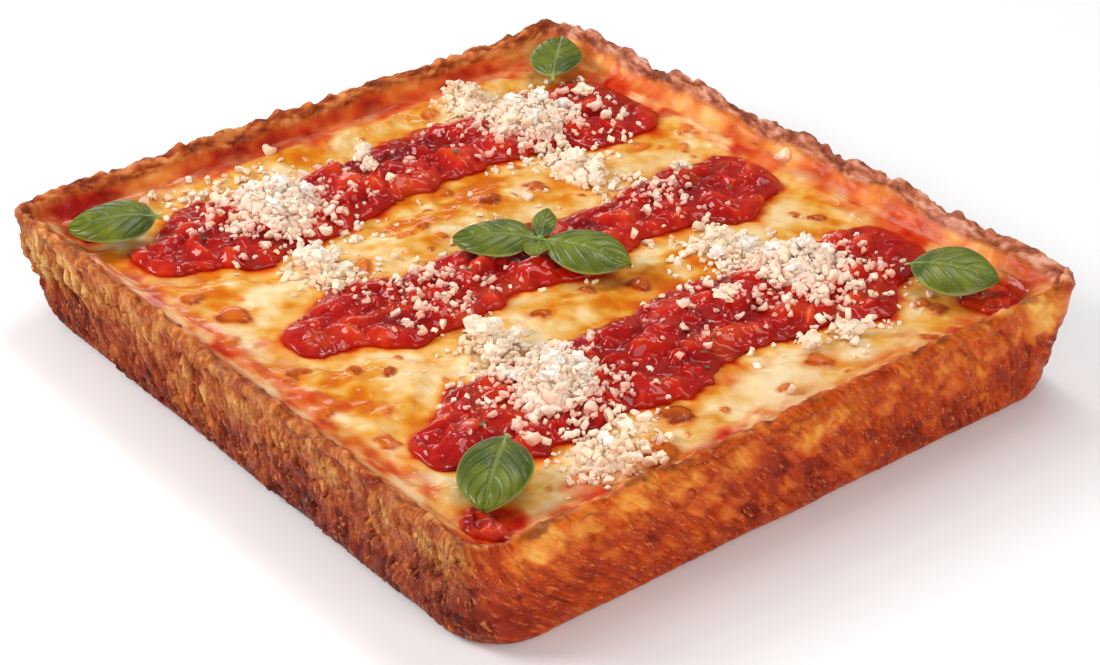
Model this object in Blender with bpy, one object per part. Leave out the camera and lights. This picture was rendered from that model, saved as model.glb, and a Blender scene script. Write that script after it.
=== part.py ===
"""Detroit-style pizza: a tall square-cornered crust baked round a bed of cheese, with three bands
of crushed tomato, heaps of grated hard cheese and basil leaves on top.

+X runs along the long side, +Y along the short side, and the base rests on z = 0 about the origin.
"""

import math

import bmesh
import bpy
import numpy as np
from mathutils import Vector
from mathutils.bvhtree import BVHTree

# Crust: outer size at the rim, and how it narrows to the base.
RIM_LENGTH = 0.2400
RIM_WIDTH = 0.2140
RIM_HEIGHT = 0.0365
RIM_RADIUS = 0.0114
WALL_TAPER = 0.0037
BASE_RADIUS = 0.0189
INNER_RADIUS = 0.0080
CORNER_TUCK = 0.0008
LONG_STEPS = 28
SHORT_STEPS = 25
CORNER_STEPS = 4

# The crust's section from under the base, up the wall, over the crest and down to the cheese.
# Each row is how far in from the rim's outline it lies, its height, and how far it wanders.
CRUST_SECTION = (
    (0.0098, 0.0000, 0.0000),
    (0.0072, 0.0006, 0.0003),
    (0.0050, 0.0022, 0.0005),
    (0.0037, 0.0052, 0.0006),
    (0.0023, 0.0130, 0.0008),
    (0.0011, 0.0235, 0.0008),
    (0.0003, 0.0318, 0.0006),
    (0.0006, 0.0352, 0.0005),
    (0.0017, 0.0365, 0.0004),
    (0.0033, 0.0362, 0.0004),
    (0.0050, 0.0345, 0.0006),
    (0.0070, 0.0316, 0.0007),
    (0.0094, 0.0291, 0.0004),
)
RECESS_INSET = 0.0115
RECESS_EDGE = 0.0276
RECESS_FLOOR = 0.0220
WALL_LUMP = 0.018
CREST_LUMP = 0.015
CREST_RISE = 0.0009
CREST_RISE_BACK = 0.0013

# Cheese: fills the recess, puffed between the sauce bands.
GAP = 0.0003
CHEESE_LEVEL = 0.0272
CHEESE_PUFF = 0.0011
CHEESE_CLIMB = 0.0014
CHEESE_STEPS_X = 30
CHEESE_STEPS_Y = 27
BAND_MARGIN = 0.006

# Sauce bands: crushed tomato, each as stations along Y of (y, left edge, right edge).
BAND_BASE = 0.0276
BAND_THICKNESS = 0.0042
BAND_EDGE = 0.0011
BAND_ROWS = 26
BAND_COLUMNS = 8
BANDS = {
    "sauce_band_left": (
        (-0.087, -0.078, -0.069),
        (-0.078, -0.084, -0.061),
        (-0.060, -0.096, -0.050),
        (-0.035, -0.088, -0.053),
        (-0.002, -0.089, -0.059),
        (0.018, -0.094, -0.058),
        (0.045, -0.087, -0.057),
        (0.068, -0.091, -0.047),
        (0.084, -0.090, -0.048),
        (0.0935, -0.080, -0.057),
    ),
    "sauce_band_middle": (
        (-0.079, -0.007, -0.001),
        (-0.066, -0.016, 0.006),
        (-0.050, -0.024, 0.016),
        (-0.030, -0.018, 0.015),
        (-0.008, -0.019, 0.011),
        (0.014, -0.019, 0.017),
        (0.036, -0.015, 0.010),
        (0.052, -0.019, 0.011),
        (0.068, -0.020, 0.021),
        (0.082, -0.017, 0.014),
        (0.0925, -0.009, -0.001),
    ),
    "sauce_band_right": (
        (-0.084, 0.061, 0.068),
        (-0.076, 0.053, 0.074),
        (-0.058, 0.043, 0.082),
        (-0.030, 0.041, 0.080),
        (-0.010, 0.043, 0.085),
        (0.012, 0.039, 0.077),
        (0.042, 0.042, 0.081),
        (0.058, 0.042, 0.088),
        (0.078, 0.043, 0.077),
        (0.0935, 0.052, 0.065),
    ),
}

# Pools of thin sauce between the cheese and the crust: centre, half length, half width, turn.
POOL_HEIGHT = 0.0017
POOL_SIDES = 14
POOLS = {
    "sauce_pool_front": (0.0984, -0.0892, 0.0084, 0.0045, 2.0),
    "sauce_pool_right": (0.0992, 0.0868, 0.0080, 0.0072, -20.0),
    "sauce_pool_left": (-0.1020, -0.0890, 0.0055, 0.0040, 0.0),
}

# Heaps of grated hard cheese: lobes of (x, y, half length, half width, height, number of crumbs).
HEAP_RINGS = 3
HEAP_SIDES = 14
HEAPS = {
    "grated_heap_back": (
        (-0.0715, 0.0555, 0.024, 0.020, 0.0058, 19),
        (-0.0380, 0.0480, 0.018, 0.0095, 0.0036, 9),
        (-0.0980, 0.0500, 0.010, 0.008, 0.0024, 4),
    ),
    "grated_heap_left": (
        (-0.0720, -0.0400, 0.027, 0.020, 0.0056, 17),
        (-0.0360, -0.0480, 0.014, 0.009, 0.0034, 8),
    ),
    "grated_heap_right": (
        (0.0540, 0.0540, 0.025, 0.020, 0.0058, 22),
        (0.0300, 0.0480, 0.012, 0.008, 0.0034, 8),
    ),
    "grated_heap_front": (
        (0.0610, -0.0390, 0.023, 0.019, 0.0056, 19),
        (0.0310, -0.0370, 0.012, 0.008, 0.0038, 8),
    ),
    "grated_patch_front": (
        (0.0955, -0.0480, 0.0115, 0.0125, 0.0020, 9),
    ),
}
CRUMB_LENGTH = (0.0034, 0.0062)

# Crumbs fused on the middle band, as patches of (x, y, half length, half width, number).
BAND_CRUMBS = ((-0.005, 0.053, 0.010, 0.009, 8), (-0.001, -0.033, 0.013, 0.014, 12))

# Large flakes of hard cheese lying by themselves: (x, y, length, width, turn in degrees).
FLAKES = {
    "flake_left_outer": (-0.0825, -0.0015, 0.0105, 0.0055, 130.0),
    "flake_left_inner": (-0.0740, -0.0050, 0.0085, 0.0050, 150.0),
    "flake_back": (-0.0735, 0.0785, 0.0080, 0.0050, 20.0),
    "flake_middle": (-0.0110, 0.0670, 0.0075, 0.0042, 40.0),
    "flake_band_right": (0.0585, 0.0235, 0.0080, 0.0055, 10.0),
    "flake_right": (0.0885, 0.0435, 0.0100, 0.0080, 70.0),
    "flake_right_low": (0.0870, 0.0310, 0.0080, 0.0065, 110.0),
}
FLAKE_HEIGHT = 0.0042

# Basil: base (x, y, z), tip (x, y, z), width, roll about its length in degrees, arch, bow,
# and how many rows and columns its faces have.
LEAF_THICKNESS = 0.0007
LEAF_WAVE = 0.0005
STALK_SHARE = 0.10
LARGE = (8, 6)
SMALL = (5, 4)
LEAVES = {
    "basil_left": ((-0.0846, -0.0725, 0.0350), (-0.0960, -0.0976, 0.0345), 0.0190, -14.0, 0.0030, 0.0024, LARGE),
    "basil_back": ((-0.0878, 0.0770, 0.0330), (-0.1075, 0.0955, 0.0360), 0.0176, 0.0, 0.0026, 0.0022, LARGE),
    "basil_right": ((0.0782, 0.0746, 0.0350), (0.1020, 0.0880, 0.0345), 0.0195, 14.0, 0.0030, 0.0022, LARGE),
    "basil_front": ((0.0787, -0.0669, 0.0350), (0.0969, -0.0883, 0.0300), 0.0196, 0.0, 0.0026, 0.0022, LARGE),
}
SPRIG_KNOT = (-0.0002, 0.0045, 0.0350)
SPRIG_KNOT_RADIUS = 0.0013
SPRIG = (
    (SPRIG_KNOT, (-0.0172, -0.0145, 0.0345), 0.0165, -14.0, 0.0024, 0.0020, LARGE),
    (SPRIG_KNOT, (0.0270, 0.0162, 0.0335), 0.0175, 14.0, 0.0026, 0.0022, LARGE),
    (SPRIG_KNOT, (-0.0074, 0.0131, 0.0390), 0.0075, 0.0, 0.0008, 0.0008, SMALL),
    (SPRIG_KNOT, (0.0064, -0.0028, 0.0350), 0.0078, 0.0, 0.0008, 0.0008, SMALL),
)
REST_GAP = 0.0006

CRUST_LOOK = ((0.48, 0.20, 0.07, 1.0), 0.70)
CHEESE_LOOK = ((0.85, 0.60, 0.27, 1.0), 0.45)
SAUCE_LOOK = ((0.42, 0.02, 0.01, 1.0), 0.25)
GRATED_LOOK = ((0.90, 0.80, 0.62, 1.0), 0.65)
BASIL_LOOK = ((0.10, 0.22, 0.03, 1.0), 0.40)


def clear_scene():
    for item in list(bpy.data.objects):
        bpy.data.objects.remove(item, do_unlink=True)


def noise_table(seed):
    return np.random.default_rng(seed).uniform(-1.0, 1.0, (32, 32, 32))


TABLE = noise_table(11)


def noise(points, lump, shift=0.0):
    """Smooth lumps of about the given size, from -1 to 1, at points of shape (n, 3)."""
    scaled = np.asarray(points, float) / lump + shift
    cell = np.floor(scaled).astype(int)
    part = scaled - cell
    part = part * part * (3.0 - 2.0 * part)
    total = np.zeros(len(scaled))
    for dx in (0, 1):
        for dy in (0, 1):
            for dz in (0, 1):
                weight = np.abs(1 - dx - part[:, 0]) * np.abs(1 - dy - part[:, 1]) * np.abs(1 - dz - part[:, 2])
                total += weight * TABLE[(cell[:, 0] + dx) % 32, (cell[:, 1] + dy) % 32, (cell[:, 2] + dz) % 32]
    return total


def flat_noise(x, y, lump, shift=0.0):
    x, y = np.broadcast_arrays(np.asarray(x, float), np.asarray(y, float))
    points = np.column_stack((x.ravel(), y.ravel(), np.zeros(x.size)))
    return noise(points, lump, shift).reshape(x.shape)


def smooth_step(low, high, value):
    share = np.clip((value - low) / (high - low), 0.0, 1.0)
    return share * share * (3.0 - 2.0 * share)


def look(name, colour, roughness):
    material = bpy.data.materials.new(name)
    material.use_nodes = True
    shader = material.node_tree.nodes["Principled BSDF"]
    shader.inputs["Base Color"].default_value = colour
    shader.inputs["Roughness"].default_value = roughness
    return material


def make_object(name, vertices, faces, finish):
    mesh = bpy.data.meshes.new(name)
    mesh.from_pydata([tuple(v) for v in vertices], [], [tuple(f) for f in faces])
    mesh.validate()
    item = bpy.data.objects.new(name, mesh)
    bpy.context.scene.collection.objects.link(item)
    item.data.materials.append(look(name, *finish))
    return item


def rounded_loop(half_x, half_y, radius):
    """Points and outward directions round a rectangle with round corners, counter-clockwise."""
    points = []
    outward = []
    corners = ((1, 1), (-1, 1), (-1, -1), (1, -1))
    for number, (sign_x, sign_y) in enumerate(corners):
        centre = np.array((sign_x * (half_x - radius), sign_y * (half_y - radius)))
        for step in range(CORNER_STEPS + 1):
            angle = math.radians(90.0 * (number + step / CORNER_STEPS))
            direction = np.array((math.cos(angle), math.sin(angle)))
            points.append(centre + radius * direction)
            outward.append(direction)
        next_x, next_y = corners[(number + 1) % 4]
        far_centre = np.array((next_x * (half_x - radius), next_y * (half_y - radius)))
        far = far_centre + radius * outward[-1]
        start = points[-1]
        side = outward[-1]
        steps = LONG_STEPS if number % 2 == 0 else SHORT_STEPS
        for step in range(1, steps):
            points.append(start + (far - start) * step / steps)
            outward.append(side)
    return np.array(points), np.array(outward)


def corner_radius(inset, height):
    """The corner's radius at a row: rounder at the base, tight at the rim and at the cheese."""
    outer = BASE_RADIUS + (RIM_RADIUS - BASE_RADIUS) * min(height / RIM_HEIGHT, 1.0)
    wall_inset = WALL_TAPER if height < RIM_HEIGHT / 2 else 0.0
    return max(outer - max(inset - wall_inset, 0.0), INNER_RADIUS)


def crest_rise(points, outward):
    """How far the crest stands above or below its mean height; lumpier on the +Y and -X sides."""
    size = CREST_RISE + CREST_RISE_BACK * np.maximum(outward[:, 1], 0.0)
    size = size + 0.5 * CREST_RISE_BACK * np.maximum(-outward[:, 0], 0.0)
    return size * (0.2 + flat_noise(points[:, 0], points[:, 1], CREST_LUMP, 3.7))


def crust_row(inset, height, wander):
    points, outward = rounded_loop(RIM_LENGTH / 2 - inset, RIM_WIDTH / 2 - inset, corner_radius(inset, height))
    above = smooth_step(0.024, 0.035, np.full(len(points), height))
    z = height + above * crest_rise(points, outward)
    at = np.column_stack((points, np.full(len(points), height)))
    cornering = (2.0 * np.abs(outward[:, 0] * outward[:, 1])) ** 2
    tuck = CORNER_TUCK * cornering * math.sin(math.pi * min(height / RIM_HEIGHT, 1.0))
    push = wander * noise(at, WALL_LUMP) - tuck * (inset < RIM_RADIUS / 2)
    return np.column_stack((points + outward * push[:, None], z))


def bridge(first, second, count):
    """Quads between two loops of the same count, whose numbers start at first and second."""
    faces = []
    for i in range(count):
        j = (i + 1) % count
        faces.append((first + i, first + j, second + j, second + i))
    return faces


def make_crust():
    rows = [crust_row(*row) for row in CRUST_SECTION]
    for height in (RECESS_EDGE, RECESS_FLOOR):
        rows.append(crust_row(RECESS_INSET, height, 0.0))
        rows[-1][:, 2] = height
    count = len(rows[0])
    vertices = np.vstack(rows)
    faces = []
    for row in range(len(rows) - 1):
        faces += bridge(row * count, (row + 1) * count, count)
    faces.append(tuple(range(count))[::-1])
    last = (len(rows) - 1) * count
    faces.append(tuple(range(last, last + count)))
    return make_object("crust", vertices, faces, CRUST_LOOK)


def band_edges(stations, y):
    """The left and right edge of a sauce band at y, on smooth curves through its stations."""
    table = np.array(stations)
    place = np.clip(np.asarray(y, float), table[0, 0], table[-1, 0])
    upper = np.clip(np.searchsorted(table[:, 0], place), 1, len(table) - 1)
    low, high = table[upper - 1], table[upper]
    share = (place - low[..., 0]) / (high[..., 0] - low[..., 0])
    share = share * share * (3.0 - 2.0 * share)
    left = low[..., 1] + (high[..., 1] - low[..., 1]) * share
    right = low[..., 2] + (high[..., 2] - low[..., 2]) * share
    return left, right


def band_distance(x, y):
    """Roughly how far outside the nearest sauce band a place lies, 0 inside one."""
    nearest = np.full(np.shape(x), 1.0)
    for stations in BANDS.values():
        left, right = band_edges(stations, y)
        aside = np.maximum(np.maximum(left - x, x - right), 0.0)
        beyond = np.maximum(np.maximum(stations[0][0] - y, y - stations[-1][0]), 0.0)
        nearest = np.minimum(nearest, np.hypot(aside, beyond))
    for x0, y0, half_x, half_y, _ in POOLS.values():
        away = np.hypot(x - x0, y - y0) - max(half_x, half_y)
        nearest = np.minimum(nearest, np.maximum(away, 0.0))
    return nearest


def cheese_height(x, y):
    """The cheese's surface: level under the sauce, puffed beside it, climbing where it meets crust."""
    away = smooth_step(BAND_MARGIN, 2.2 * BAND_MARGIN, band_distance(x, y))
    edge_x = RIM_LENGTH / 2 - RECESS_INSET - np.abs(x)
    edge_y = RIM_WIDTH / 2 - RECESS_INSET - np.abs(y)
    climb = CHEESE_CLIMB * np.exp(-np.maximum(np.minimum(edge_x, edge_y), 0.0) / 0.004)
    puff = CHEESE_PUFF * (0.7 + 0.7 * flat_noise(x, y, 0.016, 5.1))
    return CHEESE_LEVEL + away * (puff + climb)


def cheese_grid():
    """A grid of places that fills the recess, its corners drawn in to the round corners."""
    half_x = RIM_LENGTH / 2 - RECESS_INSET - GAP
    half_y = RIM_WIDTH / 2 - RECESS_INSET - GAP
    radius = corner_radius(RECESS_INSET, RECESS_EDGE) - GAP
    places = []
    for v in np.linspace(-1.0, 1.0, CHEESE_STEPS_Y + 1):
        for u in np.linspace(-1.0, 1.0, CHEESE_STEPS_X + 1):
            ring = max(abs(u), abs(v))
            centre = np.array((ring * (half_x - radius), ring * (half_y - radius)))
            place = np.array((abs(u) * half_x, abs(v) * half_y))
            off = place - centre
            if off[0] > 0.0 and off[1] > 0.0:
                place = centre + off * ring * radius / max(np.hypot(*off), 1e-9)
            places.append((math.copysign(place[0], u), math.copysign(place[1], v)))
    return np.array(places)


def grid_faces(columns, rows, start=0, reverse=False):
    faces = []
    for row in range(rows):
        for column in range(columns):
            a = start + row * (columns + 1) + column
            face = (a, a + 1, a + columns + 2, a + columns + 1)
            faces.append(face[::-1] if reverse else face)
    return faces


def grid_border(columns, rows):
    """The numbers of a grid's outer points, counter-clockwise."""
    width = columns + 1
    border = list(range(columns))
    border += [columns + row * width for row in range(rows)]
    border += [rows * width + columns - step for step in range(columns)]
    border += [(rows - row) * width for row in range(rows)]
    return border


def make_cheese():
    places = cheese_grid()
    top = np.column_stack((places, cheese_height(places[:, 0], places[:, 1])))
    border = grid_border(CHEESE_STEPS_X, CHEESE_STEPS_Y)
    bottom = np.column_stack((places[border], np.full(len(border), RECESS_FLOOR + GAP)))
    faces = grid_faces(CHEESE_STEPS_X, CHEESE_STEPS_Y)
    start = len(top)
    for i, number in enumerate(border):
        j = (i + 1) % len(border)
        faces.append((start + i, start + j, border[j], number))
    faces.append(tuple(range(start, start + len(border)))[::-1])
    return make_object("cheese", np.vstack((top, bottom)), faces, CHEESE_LOOK)


def band_thickness(x, y, across, along):
    """A band's thickness: round-shouldered, lumpy with crushed tomato and thin at both ends."""
    round_over = np.sqrt(np.clip(1.0 - np.abs(across) ** 3, 0.0, 1.0))
    ends = np.sqrt(np.clip(1.0 - np.abs(along) ** 9, 0.0, 1.0))
    lumps = 1.0 + 0.22 * flat_noise(x, y, 0.011, 8.3)
    return BAND_EDGE + (BAND_THICKNESS - BAND_EDGE) * round_over * ends * lumps


def band_mesh(stations, grow):
    """A sauce band's points and faces, grown on every side by the given amount."""
    first, last = stations[0][0], stations[-1][0]
    across = np.linspace(-1.0, 1.0, BAND_COLUMNS + 1)
    along = np.linspace(-1.0, 1.0, BAND_ROWS + 1)
    u, v = np.meshgrid(across, along)
    y = (first + last) / 2 + v * ((last - first) / 2 + grow)
    left, right = band_edges(stations, y)
    x = (left + right) / 2 + u * ((right - left) / 2 + grow)
    z = BAND_BASE + band_thickness(x, y, u, v) + grow
    top = np.column_stack((x.ravel(), y.ravel(), z.ravel()))
    border = grid_border(BAND_COLUMNS, BAND_ROWS)
    bottom = top[border].copy()
    bottom[:, 2] = BAND_BASE - grow
    faces = grid_faces(BAND_COLUMNS, BAND_ROWS)
    start = len(top)
    count = len(border)
    for i, number in enumerate(border):
        j = (i + 1) % count
        faces.append((start + i, start + j, border[j], number))
    faces.append(tuple(range(start, start + count))[::-1])
    return np.vstack((top, bottom)), faces


def pool_mesh(place, grow):
    x0, y0, half_x, half_y, turn = place
    angle = math.radians(turn)
    vertices = []
    levels = ((1.0, 0.0), (1.0, 0.35), (0.6, 0.85))
    for share, rise in levels:
        for step in range(POOL_SIDES):
            t = 2.0 * math.pi * step / POOL_SIDES
            wobble = 1.0 + 0.16 * math.sin(3.0 * t + x0 * 900.0)
            px = (half_x * share * wobble + grow) * math.cos(t)
            py = (half_y * share * wobble + grow) * math.sin(t)
            z = BAND_BASE - grow if rise == 0.0 else BAND_BASE + POOL_HEIGHT * rise + grow
            x = x0 + px * math.cos(angle) - py * math.sin(angle)
            y = y0 + px * math.sin(angle) + py * math.cos(angle)
            vertices.append((x, y, z))
    vertices.append((x0, y0, BAND_BASE + POOL_HEIGHT + grow))
    faces = bridge(0, POOL_SIDES, POOL_SIDES) + bridge(POOL_SIDES, 2 * POOL_SIDES, POOL_SIDES)
    top = 3 * POOL_SIDES
    for i in range(POOL_SIDES):
        faces.append((2 * POOL_SIDES + i, 2 * POOL_SIDES + (i + 1) % POOL_SIDES, top))
    faces.append(tuple(range(POOL_SIDES))[::-1])
    return vertices, faces


def crumb_mesh(rng, centre, length):
    """A crumb: an uneven eight-sided lump, longer than it is wide."""
    size = np.array((length, length * rng.uniform(0.5, 0.75), length * rng.uniform(0.4, 0.65))) / 2
    turn = rng.uniform(0.0, math.pi)
    lean = rng.uniform(-0.5, 0.5)
    vertices = []
    for axis in range(3):
        for sign in (-1.0, 1.0):
            point = np.zeros(3)
            point[axis] = sign * size[axis] * rng.uniform(0.85, 1.15)
            point[(axis + 1) % 3] = size[(axis + 1) % 3] * rng.uniform(-0.3, 0.3)
            x = point[0] * math.cos(lean) - point[2] * math.sin(lean)
            z = point[0] * math.sin(lean) + point[2] * math.cos(lean)
            rolled = (x * math.cos(turn) - point[1] * math.sin(turn), x * math.sin(turn) + point[1] * math.cos(turn), z)
            vertices.append(np.array(rolled) + centre)
    faces = ((1, 3, 5), (3, 0, 5), (0, 2, 5), (2, 1, 5), (3, 1, 4), (0, 3, 4), (2, 0, 4), (1, 2, 4))
    return vertices, faces


def scatter(rng, lobe):
    """A random place in an elliptical patch, denser toward its middle."""
    radius = rng.uniform(0.0, 1.0) ** 0.62
    angle = rng.uniform(0.0, 2.0 * math.pi)
    return lobe[0] + lobe[2] * radius * math.cos(angle), lobe[1] + lobe[3] * radius * math.sin(angle), radius


def surface_of(items):
    """A function that gives the height of the highest of these objects' surfaces at a place."""
    trees = []
    for item in items:
        mesh = item.data
        points = [item.matrix_world @ v.co for v in mesh.vertices]
        trees.append(BVHTree.FromPolygons(points, [tuple(p.vertices) for p in mesh.polygons]))

    def height(x, y):
        best = CHEESE_LEVEL
        for tree in trees:
            hit = tree.ray_cast(Vector((x, y, 0.1)), Vector((0.0, 0.0, -1.0)))[0]
            if hit is not None:
                best = max(best, hit.z)
        return best

    return height


def heap_core(lobe, height_at, seed):
    """A low mound draped over what lies beneath, with an uneven outline."""
    x0, y0, half_x, half_y, rise, _ = lobe
    vertices = []
    outline = []
    for ring in range(1, HEAP_RINGS + 1):
        share = ring / HEAP_RINGS
        for step in range(HEAP_SIDES):
            angle = 2.0 * math.pi * step / HEAP_SIDES
            wobble = 0.86 + 0.16 * math.sin(3.0 * angle + seed) + 0.08 * math.sin(5.0 * angle + 2.0 * seed)
            x = x0 + half_x * share * wobble * math.cos(angle)
            y = y0 + half_y * share * wobble * math.sin(angle)
            z = height_at(x, y) + rise * (1.0 - share**1.7) + 0.0006
            vertices.append((x, y, z))
    outline = [(x, y, CHEESE_LEVEL - 0.001) for x, y, _ in vertices[-HEAP_SIDES:]]
    vertices += outline
    vertices.append((x0, y0, height_at(x0, y0) + rise))
    faces = []
    for i in range(HEAP_SIDES):
        faces.append((i, (i + 1) % HEAP_SIDES, len(vertices) - 1))
    for ring in range(HEAP_RINGS):
        faces += bridge((ring + 1) * HEAP_SIDES, ring * HEAP_SIDES, HEAP_SIDES)
    faces.append(tuple(range(HEAP_RINGS * HEAP_SIDES, (HEAP_RINGS + 1) * HEAP_SIDES))[::-1])
    return vertices, faces


def apply_boolean(item, operation, collection, solver):
    modifier = item.modifiers.new(operation.lower(), "BOOLEAN")
    modifier.operation = operation
    modifier.operand_type = "COLLECTION"
    modifier.collection = collection
    modifier.solver = solver
    depsgraph = bpy.context.evaluated_depsgraph_get()
    mesh = bpy.data.meshes.new_from_object(item.evaluated_get(depsgraph))
    item.modifiers.clear()
    item.data = mesh


def combine(item, operation, pieces, solver="MANIFOLD"):
    """Joins pieces to an object, or cuts them from it, and removes them."""
    collection = bpy.data.collections.new(item.name + "_" + operation.lower())
    bpy.context.scene.collection.children.link(collection)
    for piece in pieces:
        for owner in list(piece.users_collection):
            owner.objects.unlink(piece)
        collection.objects.link(piece)
    apply_boolean(item, operation, collection, solver)
    for piece in pieces:
        bpy.data.objects.remove(piece, do_unlink=True)
    bpy.data.collections.remove(collection)


def keep_largest(item):
    """Drops every scrap that isn't joined to the object's largest body."""
    shape = bmesh.new()
    shape.from_mesh(item.data)
    left = set(shape.verts)
    bodies = []
    while left:
        start = left.pop()
        body = [start]
        stack = [start]
        while stack:
            for edge in stack.pop().link_edges:
                for vertex in edge.verts:
                    if vertex in left:
                        left.remove(vertex)
                        body.append(vertex)
                        stack.append(vertex)
        bodies.append(body)
    bodies.sort(key=len)
    for body in bodies[:-1]:
        bmesh.ops.delete(shape, geom=body, context="VERTS")
    shape.to_mesh(item.data)
    shape.free()


def grown_bed(cheese):
    """Copies of the cheese and the sauce, grown by the gap, to shape what lies on them."""
    cutters = []
    copy = cheese.copy()
    copy.data = cheese.data.copy()
    for vertex in copy.data.vertices:
        vertex.co.z += GAP
    bpy.context.scene.collection.objects.link(copy)
    cutters.append(copy)
    for name, stations in BANDS.items():
        cutters.append(make_object("grown_" + name, *band_mesh(stations, GAP), SAUCE_LOOK))
    for name, place in POOLS.items():
        cutters.append(make_object("grown_" + name, *pool_mesh(place, GAP), SAUCE_LOOK))
    return cutters


def make_heap(name, lobes, cheese, bed, seed):
    rng = np.random.default_rng(seed)
    height_at = surface_of(bed)
    heap = make_object(name, *heap_core(lobes[0], height_at, seed), GRATED_LOOK)
    extra = []
    for number, lobe in enumerate(lobes[1:]):
        extra.append(make_object("lobe", *heap_core(lobe, height_at, seed + number + 1), GRATED_LOOK))
    for lobe in lobes:
        for _ in range(lobe[5]):
            x, y, radius = scatter(rng, lobe)
            length = rng.uniform(*CRUMB_LENGTH)
            rise = lobe[4] * (1.0 - (radius / 0.86) ** 1.7) if radius < 0.86 else 0.0
            centre = (x, y, height_at(x, y) + max(rise, 0.0) + 0.0009)
            extra.append(make_object("crumb", *crumb_mesh(rng, centre, length), GRATED_LOOK))
    combine(heap, "UNION", extra)
    combine(heap, "DIFFERENCE", grown_bed(cheese))
    keep_largest(heap)
    return heap


def add_band_crumbs(band):
    rng = np.random.default_rng(77)
    height_at = surface_of([band])
    crumbs = []
    for patch in BAND_CRUMBS:
        for _ in range(patch[4]):
            x, y, _radius = scatter(rng, patch)
            centre = (x, y, height_at(x, y) + 0.0004)
            crumbs.append(make_object("crumb", *crumb_mesh(rng, centre, rng.uniform(0.0024, 0.0046)), SAUCE_LOOK))
    combine(band, "UNION", crumbs)
    keep_largest(band)


def make_flake(name, place, beneath, seed):
    """A large chip of hard cheese: an uneven faceted lump that rests on what is beneath it."""
    x0, y0, length, width, turn = place
    rng = np.random.default_rng(seed)
    shape = bmesh.new()
    bmesh.ops.create_icosphere(shape, subdivisions=1, radius=1.0)
    angle = math.radians(turn)
    for vertex in shape.verts:
        x, y, z = vertex.co * rng.uniform(0.85, 1.12)
        x, y, z = x * length / 2, y * width / 2, z * FLAKE_HEIGHT / 2
        vertex.co = (x * math.cos(angle) - y * math.sin(angle), x * math.sin(angle) + y * math.cos(angle), z)
    mesh = bpy.data.meshes.new(name)
    shape.to_mesh(mesh)
    shape.free()
    item = bpy.data.objects.new(name, mesh)
    bpy.context.scene.collection.objects.link(item)
    mesh.materials.append(look(name, *GRATED_LOOK))
    item.location = (x0, y0, 0.06)
    bpy.context.view_layer.update()
    settle(item, beneath, True)
    return item


def leaf_width(share):
    """Half the leaf's width along its length, as a share of its widest, from stalk (0) to tip (1)."""
    blade = np.clip((share - STALK_SHARE) / (1.0 - STALK_SHARE), 0.0, 1.0)
    return blade**0.55 * (1.0 - blade) ** 0.72 / 0.4212


def leaf_mesh(base, tip, width, roll, arch, bow, steps):
    """A leaf's top and bottom face as one thin closed shell, arched along its length."""
    rows, columns = steps
    base = np.array(base)
    run = np.array(tip) - base
    length = np.linalg.norm(run)
    ahead = run / length
    aside = np.cross((0.0, 0.0, 1.0), ahead)
    aside /= np.linalg.norm(aside)
    up = np.cross(ahead, aside)
    turn = math.radians(roll)
    aside, up = aside * math.cos(turn) + up * math.sin(turn), up * math.cos(turn) - aside * math.sin(turn)
    top = []
    for row in range(rows + 1):
        s = row / rows
        half = max(width / 2 * float(leaf_width(s)), 0.0006)
        for column in range(columns + 1):
            t = 2.0 * column / columns - 1.0
            lift = arch * (1.0 - (2.0 * s - 1.0) ** 2) - bow * (t * half / (width / 2)) ** 2
            lift += LEAF_WAVE * math.sin(7.0 * s + 2.0 * t + 100.0 * width) * abs(t)
            top.append(base + ahead * length * s + aside * half * t + up * lift)
    top = np.array(top)
    under = top - up * LEAF_THICKNESS
    count = len(top)
    faces = []
    for a, b, c, d in grid_faces(columns, rows, reverse=True):
        faces += [(a, b, c), (a, c, d)]
        faces += [(c + count, b + count, a + count), (d + count, c + count, a + count)]
    border = grid_border(columns, rows)
    for i, number in enumerate(border):
        after = border[(i + 1) % len(border)]
        faces.append((number, after, after + count, number + count))
    return np.vstack((top, under)), faces


def settle(item, beneath, lower):
    """Lifts a piece, or lowers it too where told, until it rests a hair above what is beneath."""
    height_at = surface_of(beneath)
    points = [item.matrix_world @ vertex.co for vertex in item.data.vertices]
    points += [item.matrix_world @ face.center for face in item.data.polygons]
    need = max(height_at(point.x, point.y) + REST_GAP - point.z for point in points)
    if need > 0.0 or lower:
        item.location.z += need
        bpy.context.view_layer.update()


def make_leaf(name, place, beneath):
    leaf = make_object(name, *leaf_mesh(*place), BASIL_LOOK)
    settle(leaf, beneath, False)
    return leaf


def make_sprig(beneath):
    """Two large and two small leaves that grow from one knot."""
    shape = bmesh.new()
    bmesh.ops.create_icosphere(shape, subdivisions=1, radius=SPRIG_KNOT_RADIUS)
    bmesh.ops.translate(shape, verts=shape.verts, vec=SPRIG_KNOT)
    mesh = bpy.data.meshes.new("basil_sprig")
    shape.to_mesh(mesh)
    shape.free()
    sprig = bpy.data.objects.new("basil_sprig", mesh)
    bpy.context.scene.collection.objects.link(sprig)
    mesh.materials.append(look("basil_sprig", *BASIL_LOOK))
    leaves = [make_object("sprig_leaf", *leaf_mesh(*place), BASIL_LOOK) for place in SPRIG]
    combine(sprig, "UNION", leaves)
    keep_largest(sprig)
    settle(sprig, beneath, False)
    return sprig


def centre_on_origin(items):
    """Moves everything together so that the base's middle, by overall size, is the origin."""
    points = []
    for item in items:
        points += [item.matrix_world @ vertex.co for vertex in item.data.vertices]
    low = np.min(points, axis=0)
    high = np.max(points, axis=0)
    shift = Vector((-(low[0] + high[0]) / 2, -(low[1] + high[1]) / 2, -low[2]))
    for item in items:
        item.location += shift
    return shift


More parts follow.
